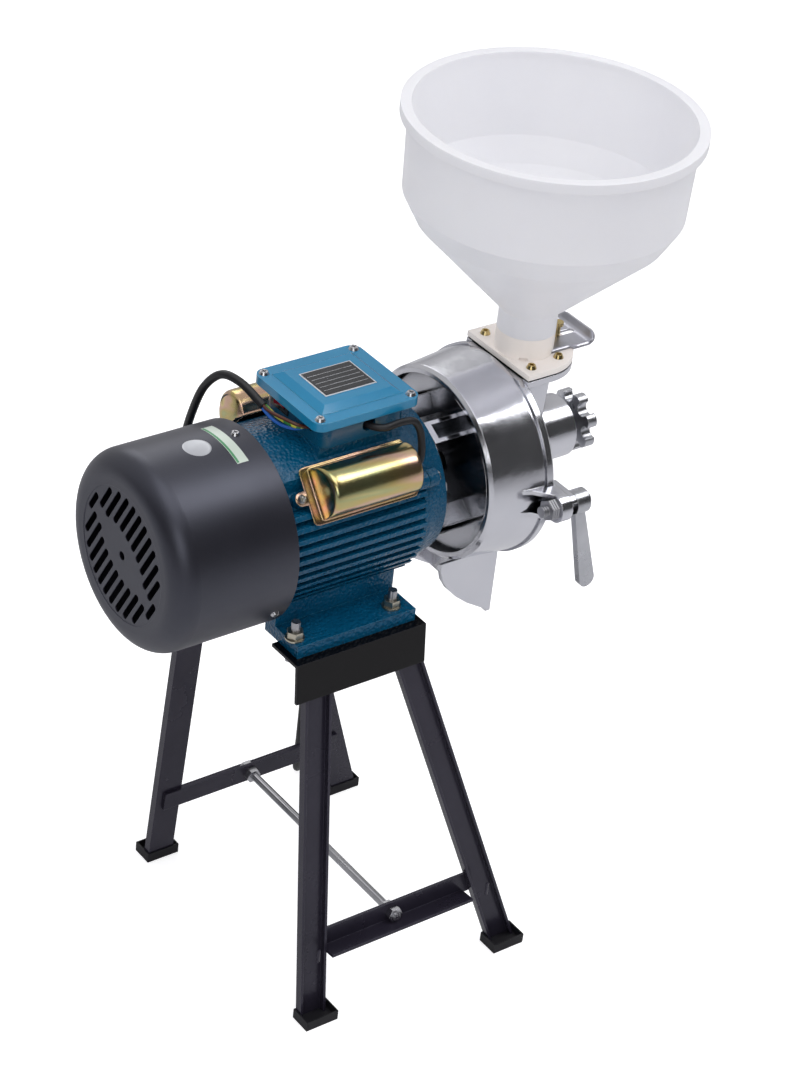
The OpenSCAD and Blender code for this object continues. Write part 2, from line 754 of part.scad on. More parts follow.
module switch_body() {
  color("#1b1b1d") on_axis() translate([box_x - box_l/2, rocker_y, rocker_z]) difference() {
    union() {
      translate([-rocker_frame/2, -rocker_l/2 - rocker_frame, -rocker_h/2 - rocker_frame])
        cube([rocker_frame/2, rocker_l + 2*rocker_frame, rocker_h + 2*rocker_frame]);
      translate([0, -rocker_l/2, -rocker_h/2]) cube([switch_deep, rocker_l, rocker_h]);
    }
    translate([-rocker_frame, -rocker_l/2 + rocker_frame, -rocker_h/2 + rocker_frame])
      cube([switch_deep - rocker_frame, rocker_l - 2*rocker_frame, rocker_h - 2*rocker_frame]);
  }
}
rocker_r = 12;
rocker_out = 3;
rocker_in = 1;
rocker_dip = 0.75;
rocker_half = 6;
rocker_pivot = 5;
module switch_rocker() {
  color("#8c0a14") on_axis() translate([box_x - box_l/2 + rocker_pivot, rocker_y, rocker_z]) intersection() {
    rotate([0, 0, 180]) linear_extrude(height = rocker_h - 2*rocker_frame - 2*slack, center = true)
      polygon([[0, -rocker_half], [rocker_pivot + rocker_out, -rocker_half], [rocker_pivot + rocker_dip, 0],
        [rocker_pivot + rocker_in, rocker_half], [0, rocker_half]]);
    translate([-rocker_r, -rocker_l/2 + rocker_frame + 2*slack, -rocker_h])
      cube([2*rocker_r, rocker_l - 2*rocker_frame - 4*slack, 2*rocker_h]);
  }
}
term_l = 36;
term_w = 16;
term_h = 10;
module terminal_block() {
  color("#d9d4c4") on_axis()
    translate([box_x + box_l/2 - box_t - term_w - box_t, -term_l/2, pad_z + box_floor]) difference() {
    cube([term_w, term_l, term_h]);
    for (i = [0 : 2]) translate([term_w/2, (i + 1/2)*term_l/3, term_h/2])
      cylinder(r = m4_r, h = term_h, $fn = 24);
  }
}

// Capacitors under their pressed covers.
module on_can(side) {
  mirror([0, side, 0]) translate([can_mid_x, 0, 0]) rotate([90 - can_ang, 0, 0]) children();
}
module capacitors() {
  color("#2a2c30") on_axis() for (s = [0, 1]) on_can(s) translate([-can_l/2, 0, fin_r + slack + can_r])
    rod_x(can_r, can_l);
}
flange_w = 3.5;
shell_t = 1.2;
shell_r = 13;
module shell_solid(l, w, h, r) {
  intersection() {
    translate([-l/2, 0, 0]) rotate([90, 0, 90]) linear_extrude(height = l) {
      translate([-w/2, 0]) square([w, h - w/2]);
      translate([0, h - w/2])
        intersection() { circle(r = w/2, $fn = 96); translate([-w, -h]) square([2*w, 2*h]); }
    }
    linear_extrude(height = 2*h) round_plate(l, w, r);
    translate([0, w, 0]) rotate([90, 0, 0]) linear_extrude(height = 2*w) {
      translate([-l/2, -h]) square([l, 2*h - r]);
      translate([-l/2 + r, -h]) square([l - 2*r, 2*h]);
      for (s = [-1, 1]) translate([s*(l/2 - r), h - r]) circle(r = r, $fn = 64);
    }
  }
}
module capacitor_cover() {
  translate([0, 0, can_seat_r]) difference() {
    union() {
      shell_solid(shell_l - 2*flange_w, shell_w - 2*flange_w, shell_h, shell_r);
      linear_extrude(height = shell_t) {
        round_plate(shell_l, shell_w, shell_r);
        for (s = [-1, 1]) translate([s*ear_x, 0]) circle(r = ear_r, $fn = 32);
      }
    }
    translate([0, 0, -over])
      shell_solid(shell_l - 2*flange_w - 2*shell_t, shell_w - 2*flange_w - 2*shell_t,
      shell_h - shell_t + over, shell_r - shell_t);
    for (s = [-1, 1]) translate([s*ear_x, 0, -over])
      cylinder(r = m4_r + slack, h = shell_t + 2*over, $fn = 32);
    translate([shell_l/2 - shell_r, 0, lead_z]) rod_x(lead_hole_r, shell_r);
  }
}
lead_z = 9;
lead_hole_r = 3.5;
module capacitor_cover_near() { color("#c2a553") on_axis() on_can(0) capacitor_cover(); }
module capacitor_cover_far() { color("#c2a553") on_axis() on_can(1) capacitor_cover(); }
module capacitor_screws() {
  color("#c9ccce") on_axis() for (m = [0, 1]) on_can(m) for (s = [-1, 1])
    translate([s*ear_x, 0, can_seat_r + shell_t])
      pan_screw(m4_r - run, m4_head_r, m4_head_h, can_seat_r - core_r - over);
}

// Swept tubes: rings lie square to the route, which is given as points.
function unit(v) = v/norm(v);
function tangent(p, i) = unit(p[min(i + 1, len(p) - 1)] - p[max(i - 1, 0)]);
function side(t) = abs(t[2]) > 0.9 ? unit(cross(t, [1, 0, 0])) : unit(cross(t, [0, 0, 1]));
function frames(p) = [for (i = 0, u = side(tangent(p, 0)); i < len(p);
    i = i + 1, u = i < len(p) ? let (t = tangent(p, i)) unit(u - t*(u*t)) : u) u];
function tube_points(p, r, n) =
  let (f = frames(p)) [for (i = [0 : len(p) - 1]) let (t = tangent(p, i), u = f[i], w = cross(t, u))
    for (k = [0 : n - 1]) p[i] + r*(cos(360*k/n)*u + sin(360*k/n)*w)];
function tube_faces(m, n) = concat(
  [for (i = [0 : m - 2], k = [0 : n - 1]) [i*n + k, (i + 1)*n + k, (i + 1)*n + (k + 1)%n]],
  [for (i = [0 : m - 2], k = [0 : n - 1]) [i*n + k, (i + 1)*n + (k + 1)%n, i*n + (k + 1)%n]],
  [for (k = [1 : n - 2]) [0, k, k + 1]],
  [for (k = [1 : n - 2]) [(m - 1)*n, (m - 1)*n + k + 1, (m - 1)*n + k]]);
module tube(p, r, n) { polyhedron(points = tube_points(p, r, n), faces = tube_faces(len(p), n),
  convexity = 10); }
// A smooth route through chosen points
function spline(a, b, c, d, t) =
  0.5*((2*b) + (c - a)*t + (2*a - 5*b + 4*c - d)*t*t + (3*b - a - 3*c + d)*t*t*t);
function route(q, m) = concat([for (i = [0 : len(q) - 2], k = [0 : m - 1])
    spline(q[max(i - 1, 0)], q[i], q[i + 1], q[min(i + 2, len(q) - 1)], k/m)], [q[len(q) - 1]]);

lead_r = 3.2;
lead_out = [box_x + near_hole_x, -box_w/2, near_hole_z];
lead_start = [[0, 8, -1], [0.5, -2, -1], [8, -11, 0]];
lead_rest = [[-24, -57, 96], [-12, -59, 95], [-6.5, -62, 86], [-5.5, -65.5, 72], [-7, -67.4, 61],
  [-12, -67.6, 56.8], [-20, -67.6, 56.8]];
lead_route = concat([for (p = lead_start) lead_out + p], lead_rest);
module capacitor_lead() { color("#1f1f22") on_axis() tube(route(lead_route, 3), lead_r, 8); }

// Mill housing: bell with four box arms, drum, back plate, clamp tongue and discharge spout in one casting.
arm_angs = [62, 118, 215, 325];
arm_r = 52;
arm_w = 22;
arm_d = 19;
ring_t = 6;
ring_in = 38;
back_t = 6;
back_in = 7;
back_x = drum_x + back_in;
back_bore = 15;
lip_r = 81;
lip_t = 3;
drum_end = drum_x + drum_l;
throat_open = 60;
tongue_t = 11;
tongue_w = 26;
tongue_out = 8;
tongue_x = drum_end + tongue_out - tongue_t;
rib_t = 4;
rib_l = 26;
mount_x = shield_l;
module arm_2d() { translate([arm_r - arm_d/2, -arm_w/2]) square([arm_d, arm_w]); }
module spout_side() {
  polygon(concat([[drum_end, -drum_r*spout_high_share], [drum_x - spout_back, -drum_r*spout_high_share]],
    [for (q = spout_curve) [drum_x - spout_back + q[0]*(drum_l + spout_back), -drum_r - q[1]*spout_h]]));
}
spout_back = 7;
spout_curve = [[0, -0.1], [0.05, 0.1], [0.16, 0.3], [0.33, 0.5], [0.55, 0.7], [0.78, 0.86], [0.93, 0.96],
  [1, 1]];
spout_mid_share = 0.78;
spout_high_share = 0.82;
module spout_ring(grow) {
  translate([-spout_w/2 + grow, -drum_r - spout_h - over*grow])
    square([spout_w - 2*grow, drum_r*(1 - spout_high_share) + spout_h + grow]);
}
module mill_housing() {
  color("#c8c8d0") on_axis() difference() {
    union() {
      difference() {
        turn_x() polygon([[lip_r, drum_x], [drum_rear_r - lip_t, drum_x], [drum_rear_r, drum_x + lip_t],
          [drum_r, drum_end - lip_t],
          [drum_r, drum_end], [drum_r - drum_t, drum_end], [drum_rear_r - drum_t, drum_x + lip_t]]);
        translate([drum_end - drum_l*spout_mid_share, -spout_w/2 + drum_t, -drum_r - over])
          cube([drum_l*spout_mid_share - drum_t, spout_w - 2*drum_t,
          drum_r*(1 - spout_high_share) + drum_t*4]);
      }
      translate([back_x, 0, 0]) rod_x(drum_rear_r - drum_t/2, back_t);
      along_x(mount_x + ring_t, back_x - mount_x - ring_t + over) for (a = arm_angs)
        rotate([0, 0, a]) arm_2d();
      translate([mount_x, 0, 0]) rod_x(arm_r + arm_d/2, ring_t);
      spout_walls();
      tongue();
    }
    along_x(mount_x + ring_t + ring_t, back_x - mount_x - 2*ring_t) for (a = arm_angs) rotate([0, 0, a])
      translate([arm_r - arm_d/2 + rib_t, -arm_w/2 + rib_t])
        square([arm_d - rib_t + over - over, arm_w - 2*rib_t]);
    translate([mount_x, 0, 0]) bore_x(ring_in, ring_t);
    translate([back_x, 0, 0]) bore_x(back_bore, back_t);
    for (a = bolt_angs) rotate([a, 0, 0]) translate([mount_x, arm_r, 0]) bore_x(m6_r + slack, ring_t);
    translate([0, -clamp_y, 0]) bore_x(clamp_r + slack, drum_end + boss_r);
  }
}
module spout_walls() {
  difference() {
    union() {
      intersection() {
        translate([0, spout_w, 0]) rotate([90, 0, 0]) linear_extrude(height = 2*spout_w) spout_side();
        along_x(drum_x - spout_back, drum_l + spout_back) difference() {
          spout_ring(0);
          spout_ring(drum_t);
        }
      }
      along_x(drum_end - drum_t, drum_t) spout_ring(0);
    }
    translate([drum_x - 2*spout_back, 0, 0]) rod_x(drum_r - drum_t/2, drum_l + 2*spout_back + over);
  }
}
module tongue() {
  difference() {
    translate([tongue_x, -clamp_y, 0]) {
      rod_x(tongue_w/2, tongue_t);
      translate([0, 0, -tongue_w/2]) cube([tongue_t, clamp_y - drum_r + drum_t, tongue_w]);
    }
    translate([drum_x, 0, 0]) rod_x(drum_r - drum_t/2, drum_l);
    translate([drum_end, 0, 0]) rod_x(lid_disc_r + 2*slack, drum_l);
  }
  for (s = [-1, 1]) translate([tongue_x - rib_l, 0, s*(tongue_w/2 - rib_t/2) - rib_t/2])
    linear_extrude(height = rib_t)
    polygon([[0, -drum_r + drum_t], [rib_l + over, -drum_r + drum_t], [rib_l + over, -clamp_y],
      [rib_l/2, -drum_r - over]]);
}
module housing_bolts() {
  color("#b7babd") on_axis() for (a = bolt_angs) rotate([a, 0, 0]) {
    translate([mount_x - bolt_deep + over, arm_r, 0]) rod_x(m6_r - run, bolt_deep + ring_t - over);
    translate([mount_x + ring_t, arm_r, 0]) hex_x(2*m6_head_r, m6_head_h);
  }
}

// Front cover: rimmed disc, feed boss, hopper throat and its flange in one casting.
cover_face_x = drum_end;
rim_round = 3;
spigot_t = 4;
spigot_play = 0.9;
throat_w = 46;
throat_low_w = 36;
throat_l = 30;
throat_in = 2;
throat_wall = 4;
flange_t = 6;
plate_back = 28;
plate_round = plate_w/2;
ear_t = 7;
ear_w = 22;
ear_x0 = cover_face_x + tongue_out + slack;
module plate_outline(grow) {
  intersection() {
    union() {
      translate([0, 0]) circle(r = plate_w/2 - grow, $fn = 96);
      translate([-plate_w/2, -plate_w/2 + grow]) square([plate_w/2, plate_w - 2*grow]);
    }
    translate([-plate_back + grow, -plate_w]) square([2*plate_w, 2*plate_w]);
  }
}
module front_cover() {
  color("#c4c4cc") on_axis() difference() {
    union() {
      turn_x() polygon([[0, cover_face_x - spigot_t],
        [drum_r - drum_t - spigot_play, cover_face_x - spigot_t],
        [drum_r - drum_t - spigot_play, cover_face_x], [lid_disc_r, cover_face_x],
          [lid_disc_r, cover_face_x + lid_disc_t - rim_round],
        [lid_disc_r - rim_round, cover_face_x + lid_disc_t],
          [lid_disc_r - 3*rim_round, cover_face_x + lid_disc_t],
        [lid_disc_r - 4*rim_round, cover_face_x + lid_disc_t - rim_round],
          [boss_r + rim_round, cover_face_x + lid_disc_t - rim_round],
        [boss_r, cover_face_x + lid_disc_t], [boss_r, cover_face_x + lid_disc_t + boss_l - rim_round],
        [boss_r - rim_round, cover_face_x + lid_disc_t + boss_l], [0, cover_face_x + lid_disc_t + boss_l]]);
      hull() {
        translate([cover_face_x + over, -throat_w/2, throat_z - flange_t])
          cube([hopper_x - cover_face_x + throat_l/2, throat_w, flange_t]);
        translate([cover_face_x + over, -throat_low_w/2, 0])
          cube([hopper_x - cover_face_x + throat_l/2, throat_low_w, boss_r/2]);
      }
      translate([hopper_x, 0, throat_z - flange_t]) linear_extrude(height = flange_t) plate_outline(0);
      difference() {
        union() {
          translate([ear_x0, -clamp_y, 0]) rod_x(ear_w/2, ear_t);
          translate([ear_x0, -clamp_y, -ear_w/2]) cube([ear_t, clamp_y - lid_disc_r + 3*rim_round, ear_w]);
        }
        translate([ear_x0 - over, -clamp_y, 0]) rod_x(clamp_r + 2*slack, ear_t + 2*over);
        translate([ear_x0 - over, -clamp_y - ear_w, -clamp_r - 2*slack])
          cube([ear_t + 2*over, ear_w, 2*clamp_r + 4*slack]);
      }
    }
    translate([cover_face_x - spigot_t - over, -plate_w, throat_z]) cube([3*plate_w, 2*plate_w, plate_w]);
    translate([cover_face_x - spigot_t - over, 0, 0])
      rod_x(feed_r, spigot_t + lid_disc_t + boss_l - boss_wall + over);
    translate([cover_face_x, 0, 0]) bore_x(screw_r + run, lid_disc_t + boss_l + spigot_t);
    intersection() {
      translate([hopper_x, 0, 0]) cylinder(r = feed_d/2, h = throat_z + over, $fn = 96);
      translate([hopper_x - feed_d, -feed_d, -over])
        cube([feed_d + throat_l/2 + over - throat_wall, 2*feed_d, throat_z + 3*over]);
    }
    at_plate_screws() translate([0, 0, throat_z - flange_t - over])
      cylinder(r = m5_r, h = flange_t + 2*over, $fn = 32);
    for (a = [45 : 90 : 315]) rotate([a, 0, 0]) translate([cover_face_x - spigot_t - over, burr_hole_r, 0])
      rod_x(m5_r, spigot_t + over + rim_round);
  }
}
burr_hole_r = 42;
plate_screw_places = [[-17, 33], [-17, -33], [16, 29], [16, -29]];
module at_plate_screws() { for (q = plate_screw_places) translate([hopper_x + q[0], q[1], 0]) children(); }

// Grinding discs with radial teeth, and the feed screw on the shaft.
tooth_w = 5;
tooth_h = 3;
tooth_in = 24;
burr_bore = 20;
fixed_x = cover_face_x - spigot_t - burr_t;
moving_x = fixed_x - burr_gap - burr_t;
module burr_cuts(x) {
  translate([x, 0, 0]) for (i = [0 : burr_teeth - 1]) rotate([i*360/burr_teeth, 0, 0])
    translate([-tooth_h, tooth_in, -tooth_w/2]) cube([2*tooth_h, burr_r, tooth_w]);
}
module fixed_burr() {
  color("#6f7276") on_axis() difference() {
    translate([fixed_x, 0, 0]) rod_x(burr_r, burr_t);
    translate([fixed_x, 0, 0]) bore_x(burr_bore, burr_t);
    burr_cuts(fixed_x);
    for (a = [45 : 90 : 315]) rotate([a, 0, 0]) translate([fixed_x, burr_hole_r, 0]) bore_x(m5_r, burr_t);
  }
}
module rotating_burr() {
  color("#77797d") on_axis() difference() {
    union() {
      translate([moving_x, 0, 0]) rod_x(burr_r, burr_t);
      translate([moving_x - burr_t/2, 0, 0]) rod_x(burr_bore, burr_t/2 + over);
    }
    translate([moving_x - burr_t/2, 0, 0]) bore_x(shaft_r + run, 2*burr_t);
    burr_cuts(moving_x + burr_t);
  }
}
flight_t = 4;
auger_x = fixed_x + tooth_h;
auger_l = auger_end_x - auger_x - slack;
module feed_screw() {
  color("#8a8d91") on_axis() translate([auger_x, 0, 0]) difference() {
    union() {
      rod_x(shaft_r + flight_t, auger_l);
      rotate([0, 90, 0])
        linear_extrude(height = auger_l, twist = -360*auger_turns, slices = 40, convexity = 10)
        intersection() {
          circle(r = auger_r, $fn = 24);
          translate([0, -flight_t]) square([auger_r, 2*flight_t]);
        }
    }
    bore_x(shaft_r + run, auger_l);
  }
}

// Adjusting screw, its thrust pad and the star knob.
boss_face_x = cover_face_x + lid_disc_t + boss_l;
pad_r = 11;
pad_x = boss_face_x - boss_wall - pad_t - pad_room;
module thrust_pad() { color("#9b8f6a") on_axis() translate([pad_x, 0, 0]) rod_x(pad_r, pad_t); }
screw_x = pad_x + pad_t + slack;
module adjust_screw() {
  color("#b4b7bb") on_axis() translate([screw_x, 0, 0]) rod_x(screw_r, boss_face_x + knob_gap - screw_x);
}
knob_x = boss_face_x + knob_gap;
lobe_r = 7.5;
valley_r = 6;
knob_hub_r = 11;
knob_cap = 3;
module star_knob() {
  color("#a5a7ab") on_axis() {
    along_x(knob_x, knob_t) difference() {
      union() {
        circle(r = knob_r - lobe_r, $fn = 64);
        for (i = [0 : knob_lobes - 1]) rotate([0, 0, i*360/knob_lobes]) translate([knob_r - lobe_r, 0])
          circle(r = lobe_r, $fn = 48);
      }
      for (i = [0 : knob_lobes - 1]) rotate([0, 0, (i + 1/2)*360/knob_lobes])
        translate([knob_r - lobe_r + valley_r/2, 0]) circle(r = valley_r, $fn = 48);
    }
    translate([knob_x + knob_t, 0, 0]) rod_x(knob_hub_r, knob_cap);
  }
}

// Clamp: bolt through the tongue, and the lever whose hub turns on it.
hub_x = ear_x0 + ear_t + slack;
bolt_end = 6;
module clamp_bolt() {
  color("#b9bcbf") on_axis() translate([0, -clamp_y, 0]) {
    translate([tongue_x - m10_h - bolt_end, 0, 0])
      rod_x(clamp_r, hub_x + hub_l + slack - tongue_x + m10_h + bolt_end);
    translate([tongue_x - m10_h, 0, 0]) hex_x(m10_af, m10_h);
    translate([hub_x + hub_l + slack, 0, 0]) rod_x(hub_r*hub_cap_share, cap_end);
  }
}
hub_cap_share = 0.55;
cap_end = 4;
lever_top_w = 10;
lever_end_w = 16;
lever_t = 7;
module clamp_lever() {
  color("#b4b6ba") on_axis() translate([hub_x, -clamp_y, 0]) difference() {
    union() {
      rod_x(hub_r, hub_l);
      translate([hub_l/2, 0, 0]) rotate([0, -lever_lean, 0]) rotate([90, 0, 0])
        linear_extrude(height = lever_t, center = true) hull() {
        translate([0, -hub_r/2]) circle(r = lever_top_w/2, $fn = 32);
        translate([0, -lever_l + lever_end_w/2]) circle(r = lever_end_w/2, $fn = 32);
      }
    }
    bore_x(clamp_r + run, hub_l);
  }
}

// Hopper plate with its socket, the gate and the hopper.
plate_gasket_t = 1.5;
plate_z = throat_z + plate_gasket_t;
module throat_gasket() {
  color("#1c1c1e") on_axis() translate([hopper_x, 0, throat_z]) linear_extrude(height = plate_gasket_t)
    difference() {
    plate_outline(gasket_t);
    circle(r = feed_d/2, $fn = 96);
    for (q = plate_screw_places) translate(q) circle(r = m5_r + slack, $fn = 32);
    translate([guide_x, 0]) circle(r = guide_r + slack, $fn = 32);
  }
}
spigot_fit = slack;
spigot_r = neck_d/2 - hopper_t - spigot_fit;
gate_w = 44;
gate_lip = 25;
gate_end = 58;
gate_wide_l = 22;
gate_lead = gate_close - feed_d/2 - slack;
guide_x = 37;
guide_r = 2.5;
lip_h = 15;
lip_ang = 75;
module hopper_plate() {
  color("#ded6d0") on_axis() translate([hopper_x, 0, plate_z]) difference() {
    union() {
      linear_extrude(height = plate_t) plate_outline(0);
      cylinder(r = neck_d/2, h = plate_t + socket_h, $fn = 96);
    }
    translate([0, 0, -over]) cylinder(r = feed_d/2, h = plate_t + gate_t + 2*over + 2*slack, $fn = 96);
    translate([0, 0, plate_t + gate_t + 2*slack]) cylinder(r = feed_d/2, h = socket_h, $fn = 96);
    translate([0, 0, plate_t + gate_t + 2*slack + socket_step])
      cylinder(r = spigot_r + spigot_fit, h = socket_h, $fn = 96);
    translate([-feed_d/2 - slack - 2*slack, -gate_w/2 - slack, plate_t])
      cube([neck_d, gate_w + 2*slack, gate_t + 2*slack]);
    for (q = plate_screw_places) translate([q[0], q[1], -over])
      cylinder(r = m5_r + slack, h = plate_t + 2*over, $fn = 32);
    translate([guide_x, 0, -over]) cylinder(r = guide_r + slack, h = plate_t + 2*over, $fn = 32);
  }
}
socket_step = 2.5;
guide_h = 12;
module plate_screws() {
  color("#c7a650") on_axis() {
    at_plate_screws() translate([0, 0, plate_z + plate_t])
      pan_screw(m5_r - run, m5_head_r, m5_head_h, plate_t + plate_gasket_t + flange_t);
    translate([hopper_x + guide_x, 0, throat_z])
      cylinder(r = guide_r, h = plate_gasket_t + plate_t + guide_h, $fn = 32);
    translate([hopper_x + guide_x, 0, plate_z + plate_t + guide_h])
      cylinder(r = m5_head_r, h = m5_head_h, $fn = 32);
  }
}
module feed_gate() {
  color("#8e9196") on_axis() translate([hopper_x, 0, plate_z + plate_t + slack]) {
    difference() {
      linear_extrude(height = gate_t) {
        translate([gate_lead, -gate_w/2]) square([gate_end - gate_lead, gate_w]);
        translate([gate_end - gate_wide_l, -gate_lip]) square([gate_wide_l, 2*gate_lip]);
      }
      for (x = [-gate_open, gate_close]) translate([guide_x + x, 0, -over])
        cylinder(r = guide_r + 2*slack, h = gate_t + 2*over, $fn = 32);
      translate([guide_x - gate_open, -guide_r - 2*slack, -over])
        cube([gate_open + gate_close, 2*guide_r + 4*slack, gate_t + 2*over]);
    }
    translate([gate_end, -gate_lip, 0]) rotate([0, -lip_ang, 0]) cube([lip_h, 2*gate_lip, gate_t]);
  }
}

// Hopper: thin-walled revolve, from the spigot up to the rolled rim.
seat_h = plate_z + plate_t + socket_h;
spigot_l = socket_h - gate_t - 2*slack - socket_step - slack;
neck_h = 20;
rim_w = (hopper_d - barrel_d)/2;
rim_lip_h = 9;
shoulder_r = 22;
top_z = hopper_h - spigot_l;
low_z = top_z - barrel_h;
cone_share = 0.9;
module hopper_wall(in) {
  polygon(concat(
    [[0, -spigot_l - in*over]],
    [[spigot_r - in, -spigot_l - in*over], [spigot_r - in, in], [neck_d/2 - in, in > 0 ? 2*in : 0],
      [neck_d/2 - in, neck_h]],
    [[barrel_low_d/2*cone_share - in, low_z]],
    [[barrel_low_d/2 - in, low_z + shoulder_r]],
    [[barrel_d/2 - in, top_z + in*over], [0, top_z + in*over]]));
}
module hopper() {
  color("#e1e4e8", 0.75) on_axis() translate([hopper_x, 0, seat_h]) rotate_extrude($fn = 128) difference() {
    union() {
      hopper_wall(0);
      translate([0, top_z - rim_lip_h]) square([hopper_d/2, rim_lip_h]);
    }
    hopper_wall(hopper_t);
    translate([barrel_d/2, top_z - rim_lip_h - over]) square([rim_w - hopper_t, rim_lip_h - hopper_t + over]);
  }
}

// Mains cord: two insulated cores leave the box, then the black sheath arches over the far capacitor,
// runs down the far side of the motor to the floor and ends in a coil with the plug.
core_d = 3;
wire_out = [box_x - box_l/2, wire_y, axis_z + wire_z];
wire_turns = [
  [[10, 0, 1], [2, -1, 0.5], [-5, -1, 0], [-11, 3, 0], [-15, 11, 1], [-18, 22, 2.5], [-19, 29, 4.2],
    [-19.6, 33.9, 5.5]],
  [[10, 3, -1], [2, 2.6, -1.5], [-4, 3, -3.5], [-10, 8, -5], [-16, 16, -4], [-20, 24, -1],
    [-21.8, 30, 2], [-22.4, 34, 3.7]],
  [[10, -2.5, -1.5], [2, -3.4, -0.5], [-7, -4, 2.5], [-14, 1, 5], [-18.5, 11, 5.8], [-21, 21, 5.5],
    [-22, 28, 5.6], [-22.4, 32.7, 6.7]]];
wire_routes = [for (w = wire_turns) [for (p = w) wire_out + p]];
module mains_wires() {
  color("#2a4d9c") at_origin() for (w = wire_routes) tube(route(w, 2), core_d/2, 6);
}
sheath_start = [[-21.6, 34, 5.5], [-23, 40, 8], [-29, 58, 17], [-35, 78, 16]];
sheath_rest = [[-131, 76, 556], [-133, 88, 526], [-133, 97, 494], [-131, 102, 462], [-124, 105, 432],
  [-104, 107, 406], [-70, 108, 394], [-34, 109, 384], [0, 111, 362], [22, 115, 322], [35, 121, 262],
  [46, 129, 192], [55, 138, 120], [62, 147, 60], [70, 158, 22], [84, 172, 6], [104, 190, 3.75],
  [130, 212, 3.75], [160, 240, 3.75], [186, 266, 3.75], [204, 284, 3.75], [211, 296, 3.75],
  [212, 301, 3.75], [212, 309.2, 3.75]];
sheath_route = concat([for (p = sheath_start) wire_out + p], sheath_rest);
module mains_sheath() { color("#26262a") at_origin() tube(route(sheath_route, 3), cord_d/2, 8); }

// The coil climbs a layer while it winds; its ends run on straight.
coil_x = 250;
coil_y = 310;
turn_gap = 1;
layer = cord_d + turn_gap;
coil_steps = 24;
function coil_pt(a) =
  let (n = a/360, turn_in = n < 2 ? n : 4 - n, up = n < 1.75 ? 0 : n > 2.25 ? 1 : (n - 1.75)*2)
  [coil_x - (coil_r - turn_in*layer)*cos(a), coil_y + (coil_r - turn_in*layer)*sin(a), cord_d/2 + up*layer];
coil_tail = [[212, 322, 12.25], [214, 336, 11], [219, 349, 9], [228, 360, 8], [240, 366, 8], [252, 367, 8],
  [261.7, 367, 8]];
coil_points = concat([for (i = [0 : coil_loops*coil_steps]) coil_pt(i*360/coil_steps)], route(coil_tail, 2));
module cord_coil() { color("#26262a") at_origin() tube(coil_points, cord_d/2, 6); }

plug_x = 262;
plug_y = 367;
plug_l = 34;
plug_w = 24;
plug_h = 16;
pin_r = 2.4;
pin_l = 19;
pin_gap = 19;
module plug_body() {
  color("#202024") at_origin() translate([plug_x, plug_y, plug_h/2]) rotate([0, 90, 0])
    linear_extrude(height = plug_l) round_plate(plug_h, plug_w, plug_h/4);
}
module plug_pins() {
  color("#c9ccce") at_origin() for (s = [-1, 1])
    translate([plug_x + plug_l, plug_y + s*pin_gap/2, plug_h/2]) rod_x(pin_r, pin_l);
}

rail_near();
rail_far();
leg_near_rear();
leg_near_front();
leg_far_rear();
leg_far_front();
brace_near();
brace_far();
foot_caps();
tie_rod();
tie_nuts();
motor_bolts();
motor_nuts();
motor_frame();
stator();
windings();
rear_shield();
front_shield();
shield_bolts();
bearings();
rotor_core();
shaft();
fan();
fan_cover();
fan_cover_screws();
junction_box();
lid_gasket();
box_lid();
lid_screws();
switch_body();
switch_rocker();
terminal_block();
capacitors();
capacitor_cover_near();
capacitor_cover_far();
capacitor_screws();
capacitor_lead();
mill_housing();
housing_bolts();
front_cover();
fixed_burr();
rotating_burr();
feed_screw();
thrust_pad();
adjust_screw();
star_knob();
clamp_bolt();
clamp_lever();
throat_gasket();
hopper_plate();
plate_screws();
feed_gate();
hopper();
mains_wires();
mains_sheath();
cord_coil();
plug_body();
plug_pins();
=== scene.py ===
"""Dressed model of an electric grain mill on its stand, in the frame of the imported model, in metres, Z up."""

from __future__ import annotations

import logging
import math
from dataclasses import dataclass
from enum import Enum
from functools import cache

import bmesh
import bpy
from mathutils import Matrix, Vector


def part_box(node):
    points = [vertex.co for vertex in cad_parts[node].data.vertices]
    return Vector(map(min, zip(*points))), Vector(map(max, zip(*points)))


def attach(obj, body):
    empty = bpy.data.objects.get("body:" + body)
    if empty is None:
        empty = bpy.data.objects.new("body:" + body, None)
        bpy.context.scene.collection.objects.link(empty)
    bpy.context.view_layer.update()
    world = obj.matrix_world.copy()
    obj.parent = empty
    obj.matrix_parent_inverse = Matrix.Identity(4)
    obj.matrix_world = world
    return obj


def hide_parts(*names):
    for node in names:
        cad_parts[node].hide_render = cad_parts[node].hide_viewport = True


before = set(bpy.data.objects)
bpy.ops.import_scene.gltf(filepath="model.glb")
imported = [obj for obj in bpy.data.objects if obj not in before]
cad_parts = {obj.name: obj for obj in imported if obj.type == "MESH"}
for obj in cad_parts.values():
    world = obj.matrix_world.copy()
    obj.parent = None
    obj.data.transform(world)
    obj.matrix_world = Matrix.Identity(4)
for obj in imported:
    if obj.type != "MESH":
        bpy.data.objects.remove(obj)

LOG = logging.getLogger("grain_mill")
MM = 0.001
MIDDLE_X = 13.0
SHAFT_Z = 468.0
SIDES = ("near", "far")
ENDS = ("rear", "front")
# Share of the painted edge highlight at the edges.
EDGE_HIGHLIGHT_SHARE = 0.55
# Colour and reach of the painted shade in deep recesses.
RECESS_SHADE_TINT = (34, 40, 46)
RECESS_SHADE_DEPTH = 0.07

Tree = bpy.types.NodeTree
Socket = bpy.types.NodeSocket
Thing = bpy.types.Object
Colour = tuple[int, int, int]
Point = tuple[float, float, float]
Route = tuple[Point, ...]
Pair = tuple[float, float]
Pairs = tuple[Pair, ...]
Face = tuple[int, ...]


def at(x: float, y: float, z: float) -> Vector:
    """A point in metres, from millimetres in front of the motor frame, to the far side and above the floor."""
    return Vector(((x - MIDDLE_X) * MM, y * MM, z * MM))


